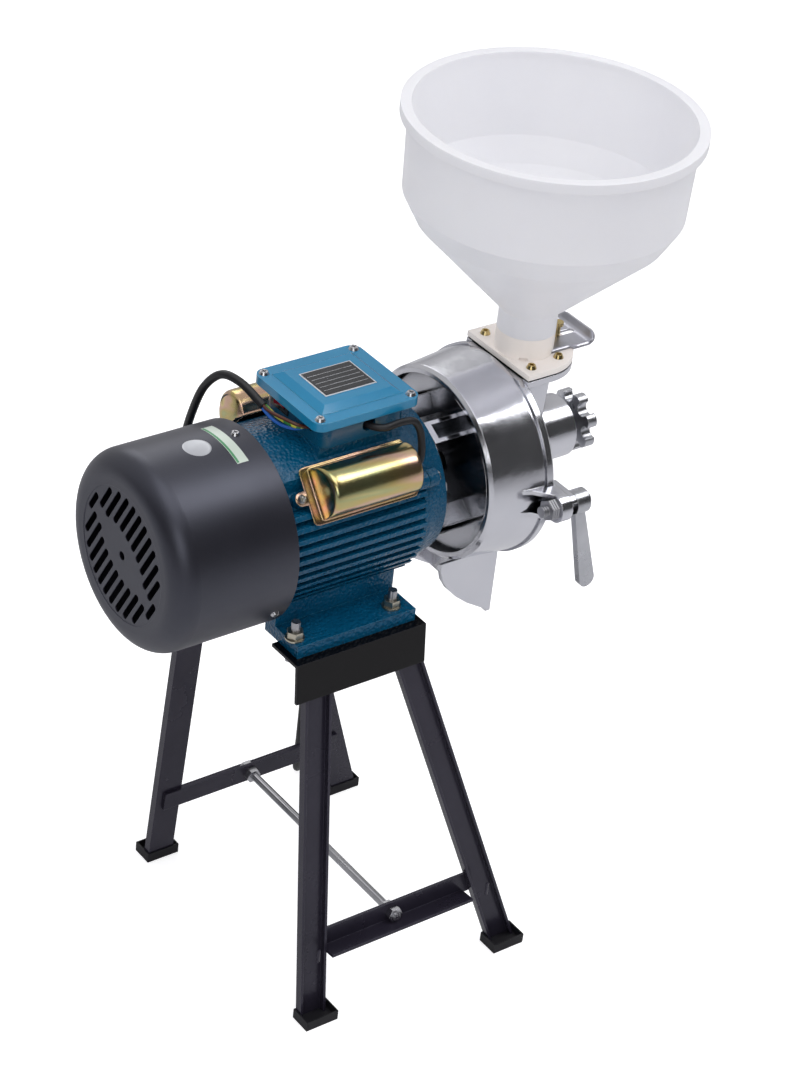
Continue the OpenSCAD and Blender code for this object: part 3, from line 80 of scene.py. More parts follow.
def linear(rgb: Colour) -> tuple[float, ...]:
    """A screen colour from 0 to 255 as the linear colour, with its alpha, that a shader takes."""
    parts = [c / 255 for c in rgb]
    return (*(c / 12.92 if c <= 0.04045 else ((c + 0.055) / 1.055) ** 2.4 for c in parts), 1.0)


def turns(count: int) -> list[float]:
    """Angles that share a full turn evenly, in radians."""
    return [2 * math.pi * k / count for k in range(count)]


# ---- shader nodes ----


def feed(tree: Tree, node: bpy.types.Node, inputs: dict) -> None:
    """Sets or links a node's inputs.

    Args:
        tree: The node's tree.
        node: The node.
        inputs: A value, or a socket to link from, for each input's name or place.
    """
    for label, value in inputs.items():
        if isinstance(value, Socket):
            tree.links.new(value, node.inputs[label])
        else:
            node.inputs[label].default_value = value


def add(tree: Tree, kind: str, inputs: dict | None = None, **settings: object) -> bpy.types.bpy_prop_collection:
    """Adds a shader node.

    Args:
        tree: The tree that takes it.
        kind: Its type, without the leading ShaderNode.
        inputs: What each input gets, as feed() takes it.
        **settings: Its own settings, such as operation.

    Returns:
        Its outputs.
    """
    node = tree.nodes.new(f"ShaderNode{kind}")
    for label, value in settings.items():
        setattr(node, label, value)
    feed(tree, node, inputs or {})
    return node.outputs


def mixed(tree: Tree, share: Socket, first: object, second: object) -> Socket:
    """Mixes two colours, given as values or sockets, by the second one's share."""
    return add(tree, "Mix", {"Factor": share, "A": first, "B": second}, data_type="RGBA")["Result"]


def ramp(tree: Tree, value: Socket, marks: list[tuple]) -> Socket:
    """Adds a colour ramp.

    Args:
        tree: The tree that takes it.
        value: What picks the place on the ramp.
        marks: Place and linear colour of each mark, in order.

    Returns:
        The socket of the picked colour.
    """
    node = tree.nodes.new("ShaderNodeValToRGB")
    feed(tree, node, {"Fac": value})
    line = node.color_ramp.elements
    for mark, end in zip((line[0], line[1]), (marks[0], marks[-1])):
        mark.position, mark.color = end
    for spot, colour in marks[1:-1]:
        line.new(spot).color = colour
    return node.outputs["Color"]


class Relief(Enum):
    """The kinds of fine surface that the mill's finishes have."""

    PEEL = "peel"
    HAMMER = "hammer"
    CAST = "cast"
    BRUSHED = "brushed"
    THREAD = "thread"
    MOULD = "mould"


NOISE_DETAIL = {Relief.PEEL: 1.0, Relief.CAST: 4.0, Relief.BRUSHED: 3.0, Relief.MOULD: 2.0}


def new_group(name: str, inputs: dict[str, float], outputs: dict[str, str]) -> tuple:
    """Makes an empty group with its sockets.

    Args:
        name: Name of the group.
        inputs: Float inputs and their defaults.
        outputs: Outputs and their kinds.

    Returns:
        The group, the sockets of its inputs, and its output node.
    """
    tree = bpy.data.node_groups.new(name, "ShaderNodeTree")
    for label, value in inputs.items():
        tree.interface.new_socket(label, in_out="INPUT", socket_type="NodeSocketFloat").default_value = value
    for label, kind in outputs.items():
        tree.interface.new_socket(label, in_out="OUTPUT", socket_type=f"NodeSocket{kind}")
    return tree, tree.nodes.new("NodeGroupInput").outputs, tree.nodes.new("NodeGroupOutput")


@cache
def relief_group(kind: Relief) -> Tree:
    """The height pattern of one kind of surface.

    Args:
        kind: Which surface.

    Returns:
        A group with a Scale input and a Height output.
    """
    tree, given, out = new_group(f"relief_{kind.value}", {"Scale": 100.0}, {"Height": "Float"})
    place = add(tree, "TexCoord")["Object"]
    spread = add(tree, "VectorMath", {0: place, "Scale": given["Scale"]}, operation="SCALE")["Vector"]
    if kind is Relief.HAMMER:
        cells = {"Vector": spread, "Scale": 1.0, "Smoothness": 0.7, "Randomness": 0.9}
        height = add(tree, "TexVoronoi", cells, feature="SMOOTH_F1")["Distance"]
    elif kind is Relief.THREAD:
        rounds = {"Vector": spread, "Scale": 1.0, "Distortion": 0.0}
        height = add(tree, "TexWave", rounds, bands_direction="X", wave_profile="TRI")["Fac"]
    else:
        if kind is Relief.BRUSHED:
            long = {0: spread, 1: (0.06, 1.0, 1.0)}
            spread = add(tree, "VectorMath", long, operation="MULTIPLY")["Vector"]
        noise = {"Vector": spread, "Scale": 1.0, "Detail": NOISE_DETAIL[kind]}
        height = add(tree, "TexNoise", noise)["Fac"]
    feed(tree, out, {"Height": height})
    return tree


@cache
def patches_group() -> Tree:
    """Slow, cloudy change over a surface, such as handling marks.

    Returns:
        A group with Scale, Low and High inputs and a Value output.
    """
    tree, given, out = new_group("patches", {"Scale": 12.0, "Low": 0.0, "High": 1.0}, {"Value": "Float"})
    place = add(tree, "TexCoord")["Object"]
    cloud = add(tree, "TexNoise", {"Vector": place, "Scale": given["Scale"], "Detail": 5.0, "Roughness": 0.6})
    spread = add(tree, "MapRange", {"Value": cloud["Fac"], "From Min": 0.32, "From Max": 0.68,
                                    "To Min": given["Low"], "To Max": given["High"]})
    feed(tree, out, {"Value": spread["Result"]})
    return tree


@cache
def edges_group() -> Tree:
    """Rounded edges for lighting, and a mask of where the edges are, which places the painted edge highlight.

    Returns:
        A group with a Radius input and Normal and Mask outputs.
    """
    tree, given, out = new_group("soft_edges", {"Radius": 0.0006}, {"Normal": "Vector", "Mask": "Float"})
    rounded = add(tree, "Bevel", {"Radius": given["Radius"]}, samples=4)["Normal"]
    flat = add(tree, "NewGeometry")["Normal"]
    same = add(tree, "VectorMath", {0: rounded, 1: flat}, operation="DOT_PRODUCT")["Value"]
    spread = add(tree, "MapRange", {"Value": same, "From Min": 0.97, "From Max": 0.80})
    feed(tree, out, {"Normal": rounded, "Mask": spread["Result"]})
    return tree


@cache
def painted_recess_shade_group() -> Tree:
    """A mask of the deep recesses, where shade is painted into the colour.

    Returns:
        A group with a Depth input and a Mask output.
    """
    tree, given, out = new_group("recesses", {"Depth": 0.06}, {"Mask": "Float"})
    # Ambient occlusion finds the recesses where shade is painted in.
    closed = add(tree, "AmbientOcclusion", {"Distance": given["Depth"]}, samples=6)["AO"]
    spread = add(tree, "MapRange", {"Value": closed, "From Min": 0.62, "From Max": 0.22})
    feed(tree, out, {"Mask": spread["Result"]})
    return tree


# ---- finishes ----


@dataclass(frozen=True)
class Finish:
    """One surface finish: a colour, its gloss and its fine relief.

    Attributes:
        name: The maker's word for it.
        colour: Screen colour from 0 to 255.
        slot: Its material slot in the record.
        metallic: 1 for bare metal, else 0.
        rough: Lowest and highest roughness.
        relief: Kind of fine surface.
        grain: Size of the relief's grain, in millimetres.
        depth: Height of the relief, in millimetres.
        coat: Weight of a clear coat.
        second: Colour of its patches, or None for a darker shade.
        drift: Share of that colour, from 0 to 1.
        edge_highlight: Lighter colour painted on the edges as a highlight, or None for none.
        edge: Radius of the rounded edges, in millimetres.
        shine: Specular level.
        recess_shade: How far painted shade darkens deep recesses, from 0 to 1.
        cast: Screen colour that tints the highlights.
    """

    name: str
    colour: Colour
    slot: str
    metallic: float = 0.0
    rough: Pair = (0.4, 0.5)
    relief: Relief = Relief.PEEL
    grain: float = 3.0
    depth: float = 0.02
    coat: float = 0.0
    second: Colour | None = None
    drift: float = 0.3
    edge_highlight: Colour | None = None
    edge: float = 0.5
    shine: float = 0.5
    recess_shade: float = 0.0
    cast: Colour = (255, 255, 255)

    @cache
    def material(self) -> bpy.types.Material:
        """The finish as a material, made at its first use.

        Returns:
            The Blender material.
        """
        made = bpy.data.materials.new(self.name)
        made.use_nodes = True
        tree = made.node_tree
        low, high = self.rough
        gloss = add(tree, "Group", {"Scale": 14.0, "Low": low, "High": high}, node_tree=patches_group())
        edges = add(tree, "Group", {"Radius": self.edge * MM}, node_tree=edges_group())
        fine = add(tree, "Group", {"Scale": 1 / (self.grain * MM)}, node_tree=relief_group(self.relief))
        bump = add(tree, "Bump", {"Strength": 1.0, "Distance": self.depth * MM,
                                  "Height": fine["Height"], "Normal": edges["Normal"]})
        feed(tree, tree.nodes["Principled BSDF"], {
            "Base Color": self._colour(tree, edges["Mask"]),
            "Metallic": self.metallic,
            "Roughness": gloss["Value"],
            "Normal": bump["Normal"],
            "Coat Weight": self.coat,
            "Coat Roughness": 0.12,
            "Specular IOR Level": self.shine,
            "Specular Tint": linear(self.cast),
            **self._extra(),
        })
        return made

    def _pattern(self, tree: Tree) -> Socket:
        """The finish's own colour over the surface."""
        second = self.second or tuple(int(c * 0.86) for c in self.colour)
        return mixed(tree, self._share(tree), linear(self.colour), linear(second))

    def _share(self, tree: Tree) -> Socket:
        """The second colour's share over the surface."""
        cloud = {"Scale": 9.0, "Low": 0.0, "High": self.drift}
        return add(tree, "Group", cloud, node_tree=patches_group())["Value"]

    def _colour(self, tree: Tree, edge_mask: Socket) -> Socket:
        """The whole colour, with a painted highlight at the edges and painted shade in the deep recesses, where the
        finish has them.

        Args:
            tree: The material's tree.
            edge_mask: Where the edges are.

        Returns:
            A colour socket.
        """
        colour, layers = self._pattern(tree), []
        # Painted edge highlight: the edges lighten towards a lighter colour.
        if self.edge_highlight:
            layers.append((edge_mask, EDGE_HIGHLIGHT_SHARE, self.edge_highlight))
        # Painted shade: deep recesses darken towards a dark tint.
        if self.recess_shade:
            deep = add(tree, "Group", {"Depth": RECESS_SHADE_DEPTH}, node_tree=painted_recess_shade_group())
            layers.append((deep["Mask"], self.recess_shade, RECESS_SHADE_TINT))
        for mask, weight, tint in layers:
            share = add(tree, "Math", {0: mask, 1: weight}, operation="MULTIPLY")["Value"]
            colour = mixed(tree, share, colour, linear(tint))
        return colour

    def _extra(self) -> dict:
        """Shader inputs that only some finishes set."""
        return {}

    def put_on(self, thing: Thing) -> Thing:
        """Dresses an object in this finish alone.

        Args:
            thing: A CAD node or a new piece.

        Returns:
            The same object.
        """
        thing.data.materials.clear()
        thing.data.materials.append(self.material())
        return thing

    def fit(self, piece: Thing, *nodes: str, body: str = "frame", slot: str = "") -> Thing:
        """Dresses a new piece, hangs it on the body that carries it and hides the CAD nodes that it stands for.

        Args:
            piece: The new piece.
            *nodes: CAD nodes that it replaces.
            body: The body that carries it.
            slot: Its material slot, where that isn't the finish's own; not used.

        Returns:
            The same piece.
        """
        self.put_on(piece)
        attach(piece, body)
        if nodes:
            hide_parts(*nodes)
        return piece


@dataclass(frozen=True)
class Metal(Finish):
    """Bare or plated metal."""

    metallic: float = 1.0
    rough: Pair = (0.2, 0.34)
    relief: Relief = Relief.CAST
    grain: float = 2.0
    depth: float = 0.01


@dataclass(frozen=True)
class Moulding(Finish):
    """Moulded plastic or rubber."""

    rough: Pair = (0.45, 0.6)
    relief: Relief = Relief.MOULD
    grain: float = 0.8


@dataclass(frozen=True)
class RainbowZinc(Metal):
    """Yellow passivated zinc, with its bands of gold, rose and green.

    Attributes:
        bands: Screen colours of the bands, in order.
    """

    bands: tuple[Colour, ...] = (
        (158, 134, 78), (222, 202, 144), (216, 178, 158), (198, 178, 118), (180, 182, 134), (220, 200, 140))

    def _pattern(self, tree: Tree) -> Socket:
        """Bands that run along the shaft and wander.

        Args:
            tree: The material's tree.

        Returns:
            A colour socket.
        """
        place = add(tree, "TexCoord")["Object"]
        long = add(tree, "VectorMath", {0: place, 1: (7.0, 38.0, 38.0)}, operation="MULTIPLY")["Vector"]
        noise = add(tree, "TexNoise", {"Vector": long, "Scale": 1.0, "Detail": 2.0, "Distortion": 0.4})
        first, spread, last = 0.28, 0.44, len(self.bands) - 1
        marks = [(first + spread * i / last, linear(band)) for i, band in enumerate(self.bands)]
        return ramp(tree, noise["Fac"], marks)


@dataclass(frozen=True)
class MilkyPlastic(Moulding):
    """Natural polyethylene that lets some light through, brightened by a painted glow.

    Attributes:
        through: Weight of the light that passes.
        inside: Weight of the light that scatters inside.
        painted_glow: Level of a painted glow, a white emission that brightens the wall.
    """

    through: float = 0.3
    inside: float = 0.5
    painted_glow: float = 0.1

    def _extra(self) -> dict:
        """The light that passes and scatters, and the painted glow."""
        return {
            "Transmission Weight": self.through,
            "Subsurface Weight": self.inside,
            "Subsurface Radius": (1.0, 0.95, 0.9),
            "Subsurface Scale": 0.004,
            "IOR": 1.3,
            # Painted glow: a faint white emission that brightens the plastic though it is no lamp.
            "Emission Color": linear((246, 246, 249)),
            "Emission Strength": self.painted_glow,
        }


@dataclass(frozen=True)
class StripedCore(Moulding):
    """Insulation of two colours in turns along the core."""

    def _share(self, tree: Tree) -> Socket:
        """Two colours side by side round the core."""
        place = add(tree, "TexCoord")["Object"]
        wave = add(tree, "TexWave", {"Vector": place, "Scale": 55.0, "Distortion": 0.6})["Fac"]
        return add(tree, "Math", {0: wave, 1: 0.55}, operation="GREATER_THAN")["Value"]


class Look:
    """Every finish of the mill, by the maker's word."""

    # Each finish's lighter edge colour is a painted edge highlight.
    stand_paint = Finish("gloss_black_paint", (43, 40, 51), "stand_paint", rough=(0.2, 0.3), grain=2.6,
        depth=0.03, coat=0.06, second=(28, 26, 36), drift=0.7, edge_highlight=(78, 76, 90), edge=0.7, shine=0.35,
        cast=(232, 230, 252))
    rail_paint = Finish("deep_black_paint", (7, 6, 8), "stand_paint", rough=(0.16, 0.24), grain=2.6, depth=0.03,
        coat=0.1, second=(14, 13, 16), drift=0.5, edge_highlight=(70, 70, 76), edge=0.8, shine=0.14)
    foot_plastic = Moulding("moulded_foot_black", (22, 21, 26), "foot_plastic", grain=0.7, second=(32, 31, 36),
        drift=0.5, edge=0.6, shine=0.3)
    zinc = Metal("bright_zinc", (205, 205, 208), "zinc_steel", second=(176, 178, 184), drift=0.6, edge=0.35)
    zinc_thread = Metal("zinc_thread", (186, 186, 190), "zinc_steel", rough=(0.25, 0.4), relief=Relief.THREAD,
        grain=7.8, depth=0.5, second=(150, 150, 156), drift=0.6, edge=0.2)
    motor_paint = Finish("blue_hammer_paint", (3, 86, 122), "motor_paint", rough=(0.2, 0.3),
        relief=Relief.HAMMER, depth=1.3, coat=0.12, second=(2, 62, 94), drift=0.8, edge_highlight=(48, 128, 158),
        edge=0.8, shine=0.3)
    shield_paint = Finish("blue_shield_paint", (3, 78, 112), "motor_paint", rough=(0.22, 0.32),
        relief=Relief.HAMMER, grain=2.6, depth=0.9, coat=0.08, second=(2, 60, 88), drift=0.7,
        edge_highlight=(38, 114, 142), edge=0.8, shine=0.25)
    box_paint = Finish("blue_box_paint", (4, 84, 118), "motor_paint", rough=(0.22, 0.32), grain=2.5, depth=0.03,
        coat=0.2, second=(4, 72, 102), drift=0.6, edge_highlight=(46, 126, 154), edge=0.8, shine=0.4)
    lid_paint = Finish("blue_lid_paint", (30, 134, 178), "lid_paint", rough=(0.16, 0.26), depth=0.03, coat=0.3,
        second=(24, 120, 162), drift=0.6, edge_highlight=(112, 182, 208), edge=1.0, shine=0.4)
    cover_paint = Finish("charcoal_satin_paint", (22, 21, 27), "cover_paint", rough=(0.38, 0.44), grain=1.6,
        depth=0.03, second=(28, 27, 34), drift=0.6, edge_highlight=(66, 66, 80), edge=0.6, shine=1.0,
        cast=(226, 230, 252))
    lamination = Metal("sheet_stack", (96, 98, 102), "lamination", rough=(0.35, 0.5), relief=Relief.BRUSHED,
        grain=0.5, depth=0.05)
    copper = Metal("enamelled_copper", (150, 78, 42), "copper", rough=(0.3, 0.42), relief=Relief.BRUSHED,
        grain=0.9, depth=0.2)
    bearing = Metal("ground_steel", (200, 200, 204), "bearing_steel", rough=(0.12, 0.2), relief=Relief.BRUSHED,
        grain=0.5)
    fan_plastic = Moulding("moulded_fan_black", (30, 30, 32), "fan_plastic")
    gasket = Moulding("black_gasket", (26, 26, 27), "gasket_rubber", rough=(0.6, 0.75), grain=0.5)
    switch_black = Finish("switch_black", (20, 20, 22), "switch_black", rough=(0.16, 0.24), grain=1.0,
        depth=0.01)
    rocker_red = Finish("rocker_red", (150, 12, 22), "rocker_red", rough=(0.14, 0.22), grain=1.0, depth=0.01,
        coat=0.3, second=(120, 6, 14), drift=0.6)
    terminal = Moulding("terminal_cream", (206, 198, 176), "terminal_cream", rough=(0.4, 0.5))
    can = Finish("sleeved_can", (34, 34, 37), "can_black", rough=(0.25, 0.4), grain=1.2)
    yellow_zinc = RainbowZinc("rainbow_zinc", (200, 166, 92), "yellow_zinc", rough=(0.16, 0.26),
        relief=Relief.PEEL, grain=6.0, depth=0.03, edge=1.2)
    brass_head = Metal("yellow_zinc_heads", (222, 202, 146), "yellow_zinc", rough=(0.2, 0.32),
        second=(170, 150, 104), drift=0.7, edge=0.3)
    nut_zinc = Metal("zinc_nuts", (196, 194, 186), "yellow_zinc", second=(176, 166, 140), drift=0.7, edge=0.4)
    cord = Moulding("cord_sheath", (20, 20, 24), "cord_rubber", rough=(0.38, 0.5), grain=0.6,
        second=(34, 34, 37), drift=0.5)
    # The casting's deep recesses take painted shade.
    aluminium = Metal("polished_casting", (214, 214, 220), "cast_aluminium", rough=(0.1, 0.24), grain=16.0,
        depth=0.22, second=(196, 198, 206), drift=0.7, edge_highlight=(236, 236, 240), edge=1.2, recess_shade=0.92)
    iron = Metal("cast_burr_iron", (92, 92, 96), "cast_iron_burr", rough=(0.4, 0.6), grain=1.5, depth=0.12)
    steel = Metal("turned_steel", (172, 173, 178), "machined_steel", rough=(0.2, 0.3), relief=Relief.BRUSHED,
        grain=0.6, depth=0.02)
    steel_thread = Metal("turned_thread", (165, 166, 172), "machined_steel", rough=(0.2, 0.32),
        relief=Relief.THREAD, grain=9.4, depth=0.5, second=(140, 141, 148), drift=0.5, edge=0.2)
    bronze = Metal("bronze_pad", (170, 140, 84), "thrust_bronze", rough=(0.25, 0.35), relief=Relief.BRUSHED,
        grain=0.6, depth=0.02)
    knob = Metal("tumbled_knob", (204, 205, 210), "knob_cast", rough=(0.2, 0.36), grain=4.0, depth=0.12,
        second=(150, 152, 158), drift=0.7, edge_highlight=(206, 206, 210), edge=1.2)
    # Both mouldings carry a painted glow.
    cream = MilkyPlastic("cream_moulding", (246, 238, 232), "cream_plastic", rough=(0.28, 0.38), grain=1.4,
        second=(238, 229, 221), drift=0.5, edge=0.8, through=0.0, inside=0.3, painted_glow=0.09)
    milky = MilkyPlastic("milky_polyethylene", (219, 219, 222), "hopper_plastic", rough=(0.3, 0.42), grain=9.0,
        depth=0.05, second=(213, 213, 218), drift=0.5, edge=0.9, painted_glow=0.15)
    gate = Metal("bare_gate_sheet", (214, 214, 222), "gate_steel", rough=(0.26, 0.4), relief=Relief.BRUSHED,
        grain=1.0, depth=0.02, second=(120, 121, 130), drift=0.7, edge=0.4)
    core_earth = StripedCore("core_green_yellow", (50, 130, 62), "core_wires", rough=(0.3, 0.4), depth=0.01,
        second=(206, 204, 70))
    core_blue = Moulding("core_blue", (40, 104, 200), "core_wires", rough=(0.3, 0.4), depth=0.01)
    core_brown = Moulding("core_brown", (84, 44, 30), "core_wires", rough=(0.3, 0.4), depth=0.01)
    plate_field = Finish("plate_black_field", (30, 31, 36), "lid_paint", rough=(0.22, 0.3), grain=1.2,
        depth=0.01)
    plate_silver = Finish("plate_silver_line", (214, 216, 220), "zinc_steel", metallic=0.15, rough=(0.25, 0.35),
        relief=Relief.BRUSHED, grain=0.6, depth=0.01)
    sticker_silver = Finish("sticker_silver", (196, 198, 202), "cover_paint", metallic=0.6, rough=(0.3, 0.45),
        relief=Relief.CAST, grain=1.6, depth=0.03, second=(168, 170, 178), drift=0.8)
    sticker_pale = Finish("sticker_pale", (206, 216, 206), "cover_paint", metallic=0.2, rough=(0.3, 0.4),
        grain=2.0, depth=0.01, second=(188, 204, 190), drift=0.7)
    sticker_green = Finish("sticker_green", (70, 140, 96), "cover_paint", metallic=0.1, rough=(0.3, 0.4),
        grain=2.0, depth=0.01, second=(96, 160, 116), drift=0.7)


# ---- mesh helpers ----


def placed(name: str, data: bpy.types.ID) -> Thing:
    """Makes an object and links it to the scene.

    Args:
        name: Name of the object.
        data: Its mesh, curve, lamp or camera data.

    Returns:
        The object.
    """
    thing = bpy.data.objects.new(name, data)
    bpy.context.scene.collection.objects.link(thing)
    return thing


def piece_from(name: str, points: list[Vector], faces: list[Face], smooth: bool = True) -> Thing:
    """A new piece from its points and faces.

    Args:
        name: Name of the piece.
        points: Its points in the row frame.
        faces: Indices of each face's points.
        smooth: Whether its faces shade smoothly.

    Returns:
        The linked object.
    """
    mesh = bpy.data.meshes.new(name)
    mesh.from_pydata([tuple(p) for p in points], [], faces)
    shape = bmesh.new()
    shape.from_mesh(mesh)
    bmesh.ops.recalc_face_normals(shape, faces=shape.faces)
    shape.to_mesh(mesh)
    shape.free()
    for face in mesh.polygons:
        face.use_smooth = smooth
    return placed(name, mesh)


def grid_faces(rows: int, count: int, closed: bool = False) -> list[Face]:
    """Faces between rows of count points, each of them a ring if closed."""
    return [(i * count + k, i * count + (k + 1) % count, (i + 1) * count + (k + 1) % count, (i + 1) * count + k)
            for i in range(rows - 1) for k in range(count if closed else count - 1)]


def ring_stack(name: str, rings: list[list[Vector]], smooth: bool = True) -> Thing:
    """A closed body lofted through rings of equal count.

    Args:
        name: Name of the piece.
        rings: The rings, in order along the body.
        smooth: Whether its faces shade smoothly.

    Returns:
        The linked object.
    """
    count, last = len(rings[0]), (len(rings) - 1) * len(rings[0])
    caps = [tuple(range(count)), tuple(range(last, last + count))]
    return piece_from(name, [p for ring in rings for p in ring], grid_faces(len(rings), count, True) + caps, smooth)


def spline_route(points: Route, steps: int) -> list[Point]:
    """A smooth route through chosen points.

    Args:
        points: The chosen points.
        steps: Points on each span.

    Returns:
        The route's points.
    """
    out: list[Point] = []
    last = len(points) - 1
    for i in range(last):
        a, b, c, d = points[max(i - 1, 0)], points[i], points[i + 1], points[min(i + 2, last)]
        for t in (k / steps for k in range(steps)):
            out.append(tuple(
                0.5 * (2 * q + (r - p) * t + (2 * p - 5 * q + 4 * r - s) * t * t + (3 * q - p - 3 * r + s) * t ** 3)
                for p, q, r, s in zip(a, b, c, d)
            ))
    out.append(points[-1])
    return out


def tube_curve(name: str, line: list[Vector], width: float) -> Thing:
    """A round cord as a curve.

    Args:
        name: Name of the piece.
        line: Its centreline in metres.
        width: Its diameter in metres.

    Returns:
        The linked curve object.
    """
    curve = bpy.data.curves.new(name, "CURVE")
    curve.dimensions = "3D"
    curve.bevel_depth = width / 2
    curve.bevel_resolution = 4
    curve.use_fill_caps = True
    spline = curve.splines.new("POLY")
    spline.points.add(len(line) - 1)
    for point, where in zip(spline.points, line):
        point.co = (*where, 1.0)
    spline.use_smooth = True
    return placed(name, curve)


# ---- camera and studio ----


@dataclass
class Studio:
    """The camera at the photograph's angle, the floor and the lamps.

    Attributes:
        eye: Place of the camera.
        azimuth: Turn of the view from +Y, in degrees.
        down: How far the view looks down, in degrees.
        roll: Turn of the picture, in degrees.
        lens: Focal length for a sensor 36 mm wide.
        floor_half: Half the floor's width, in metres.
        aim: The point that the lamps face.
        lights: Name, place, side in metres and power in watts of each lamp.
        walls: Place, level and blue level of the marks that metal sees, from the near wall to the roof.
        wall_lean: How much the far side counts beside the height on those walls.
    """

    eye: Point = (-1.3994, -1.7204, 1.8599)
    azimuth: float = -39.619
    down: float = 33.353
    roll: float = 6.796
    lens: float = 136.33
    floor_half: float = 14.0
    aim: Point = (0.0, 0.0, 0.45)
    lights: tuple = (
        ("lamp_top", (-0.5, -0.4, 2.6), 1.8, 15.0),
        ("lamp_key", (-1.9, -2.0, 1.7), 1.4, 14.0),
        ("lamp_fill", (1.25, -0.5, 2.3), 1.1, 16.0),
        ("lamp_back", (0.6, 2.3, 2.0), 1.4, 11.0),
    )
    walls: Route = (
        (0.0, 0.1, 0.1), (0.08, 0.06, 0.0612), (0.4, 0.05, 0.051), (0.5, 0.14, 0.1428),
        (0.62, 0.72, 0.7344), (0.8, 0.85, 0.867), (1.0, 0.95, 0.95))
    wall_lean: float = 0.8

    def camera(self) -> None:
        """Makes the camera and sets it as the scene's."""
        a, e, r = (math.radians(v) for v in (self.azimuth, self.down, self.roll))
        ahead = Vector((-math.sin(a) * math.cos(e), math.cos(a) * math.cos(e), -math.sin(e)))
        right = Vector((math.cos(a), math.sin(a), 0.0))
        up = right.cross(ahead)
        across = right * math.cos(r) + up * math.sin(r)
        above = up * math.cos(r) - right * math.sin(r)
        data = bpy.data.cameras.new("camera")
        data.sensor_fit = "HORIZONTAL"
        data.sensor_width = 36.0
        data.lens = self.lens
        data.clip_end = 60.0
        camera = placed("camera", data)
        camera.matrix_world = Matrix.Translation(self.eye) @ Matrix((across, above, -ahead)).transposed().to_4x4()
        bpy.context.scene.camera = camera

    def floor(self) -> None:
        """Makes the pale floor, which keeps the mill's shadow."""
        h = self.floor_half
        corners = [Vector((x, y, -0.0005)) for x, y in ((-h, -h), (h, -h), (h, h), (-h, h))]
        ground = piece_from("floor", corners, [(0, 1, 2, 3)], smooth=False)
        pale = bpy.data.materials.new("pale_floor")
        pale.use_nodes = True
        tree = pale.node_tree
        shader = tree.nodes["Principled BSDF"]
        feed(tree, shader, {"Base Color": (0.75, 0.75, 0.76, 1.0), "Roughness": 0.8, "Specular IOR Level": 0.1})
        glow = add(tree, "Emission", {"Color": (0.66, 0.66, 0.66, 1.0)})
        both = add(tree, "AddShader", {0: shader.outputs[0], 1: glow[0]})
        pick = add(tree, "MixShader", {"Fac": self._seen(tree), 1: shader.outputs[0], 2: both[0]})
        feed(tree, tree.nodes["Material Output"], {"Surface": pick[0]})
        ground.data.materials.append(pale)

    def _seen(self, tree: Tree) -> Socket:
        """Whether a ray comes from the camera or through glass, as 1 or 0."""
        path = add(tree, "LightPath")
        either = {0: path["Is Camera Ray"], 1: path["Is Transmission Ray"]}
        return add(tree, "Math", either, operation="MAXIMUM")["Value"]

    def world(self) -> None:
        """Makes the room: white to the camera, even light on paint, and walls of their own for metal."""
        room = bpy.data.worlds.new("studio")
        bpy.context.scene.world = room
        room.use_nodes = True
        tree = room.node_tree
        white = tree.nodes["Background"]
        feed(tree, white, {"Color": (1.0, 1.0, 1.0, 1.0)})
        split = add(tree, "SeparateXYZ", {"Vector": add(tree, "TexCoord")["Generated"]})
        lean = add(tree, "Math", {0: split["Y"], 1: self.wall_lean, 2: split["Z"]}, operation="MULTIPLY_ADD")
        marks = [(spot, (level, level, blue, 1.0)) for spot, level, blue in self.walls]
        walls = add(tree, "Background", {"Color": ramp(tree, lean["Value"], marks), "Strength": 0.62})
        even = add(tree, "Background", {"Color": (0.5, 0.5, 0.515, 1.0)})
        glossy = add(tree, "LightPath")["Is Glossy Ray"]
        light = add(tree, "MixShader", {"Fac": glossy, 1: even[0], 2: walls[0]})
        pick = add(tree, "MixShader", {"Fac": self._seen(tree), 1: light[0], 2: white.outputs[0]})
        feed(tree, tree.nodes["World Output"], {"Surface": pick[0]})

    def lamps(self) -> None:
        """Makes the overhead softbox, the key, the fill and the back lamp."""
        for name, where, size, power in self.lights:
            data = bpy.data.lights.new(name, "AREA")
            data.size, data.energy = size, power
            light = placed(name, data)
            light.location = where
            light.rotation_euler = (Vector(self.aim) - Vector(where)).to_track_quat("-Z", "Y").to_euler()


# ---- the mill ----


class Assembly:
    """A sub-assembly: finishes on its CAD nodes, and new pieces. All its sizes are in millimetres.

    Attributes:
        looks: The finish of each CAD node.
    """

    looks: dict[str, Finish] = {}

    def dress(self) -> None:
        """Puts each CAD node's finish on it."""
        for name, look in self.looks.items():
            look.put_on(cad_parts[name])

    def build(self) -> list[Thing]:
        """The new pieces, here none."""
        return []


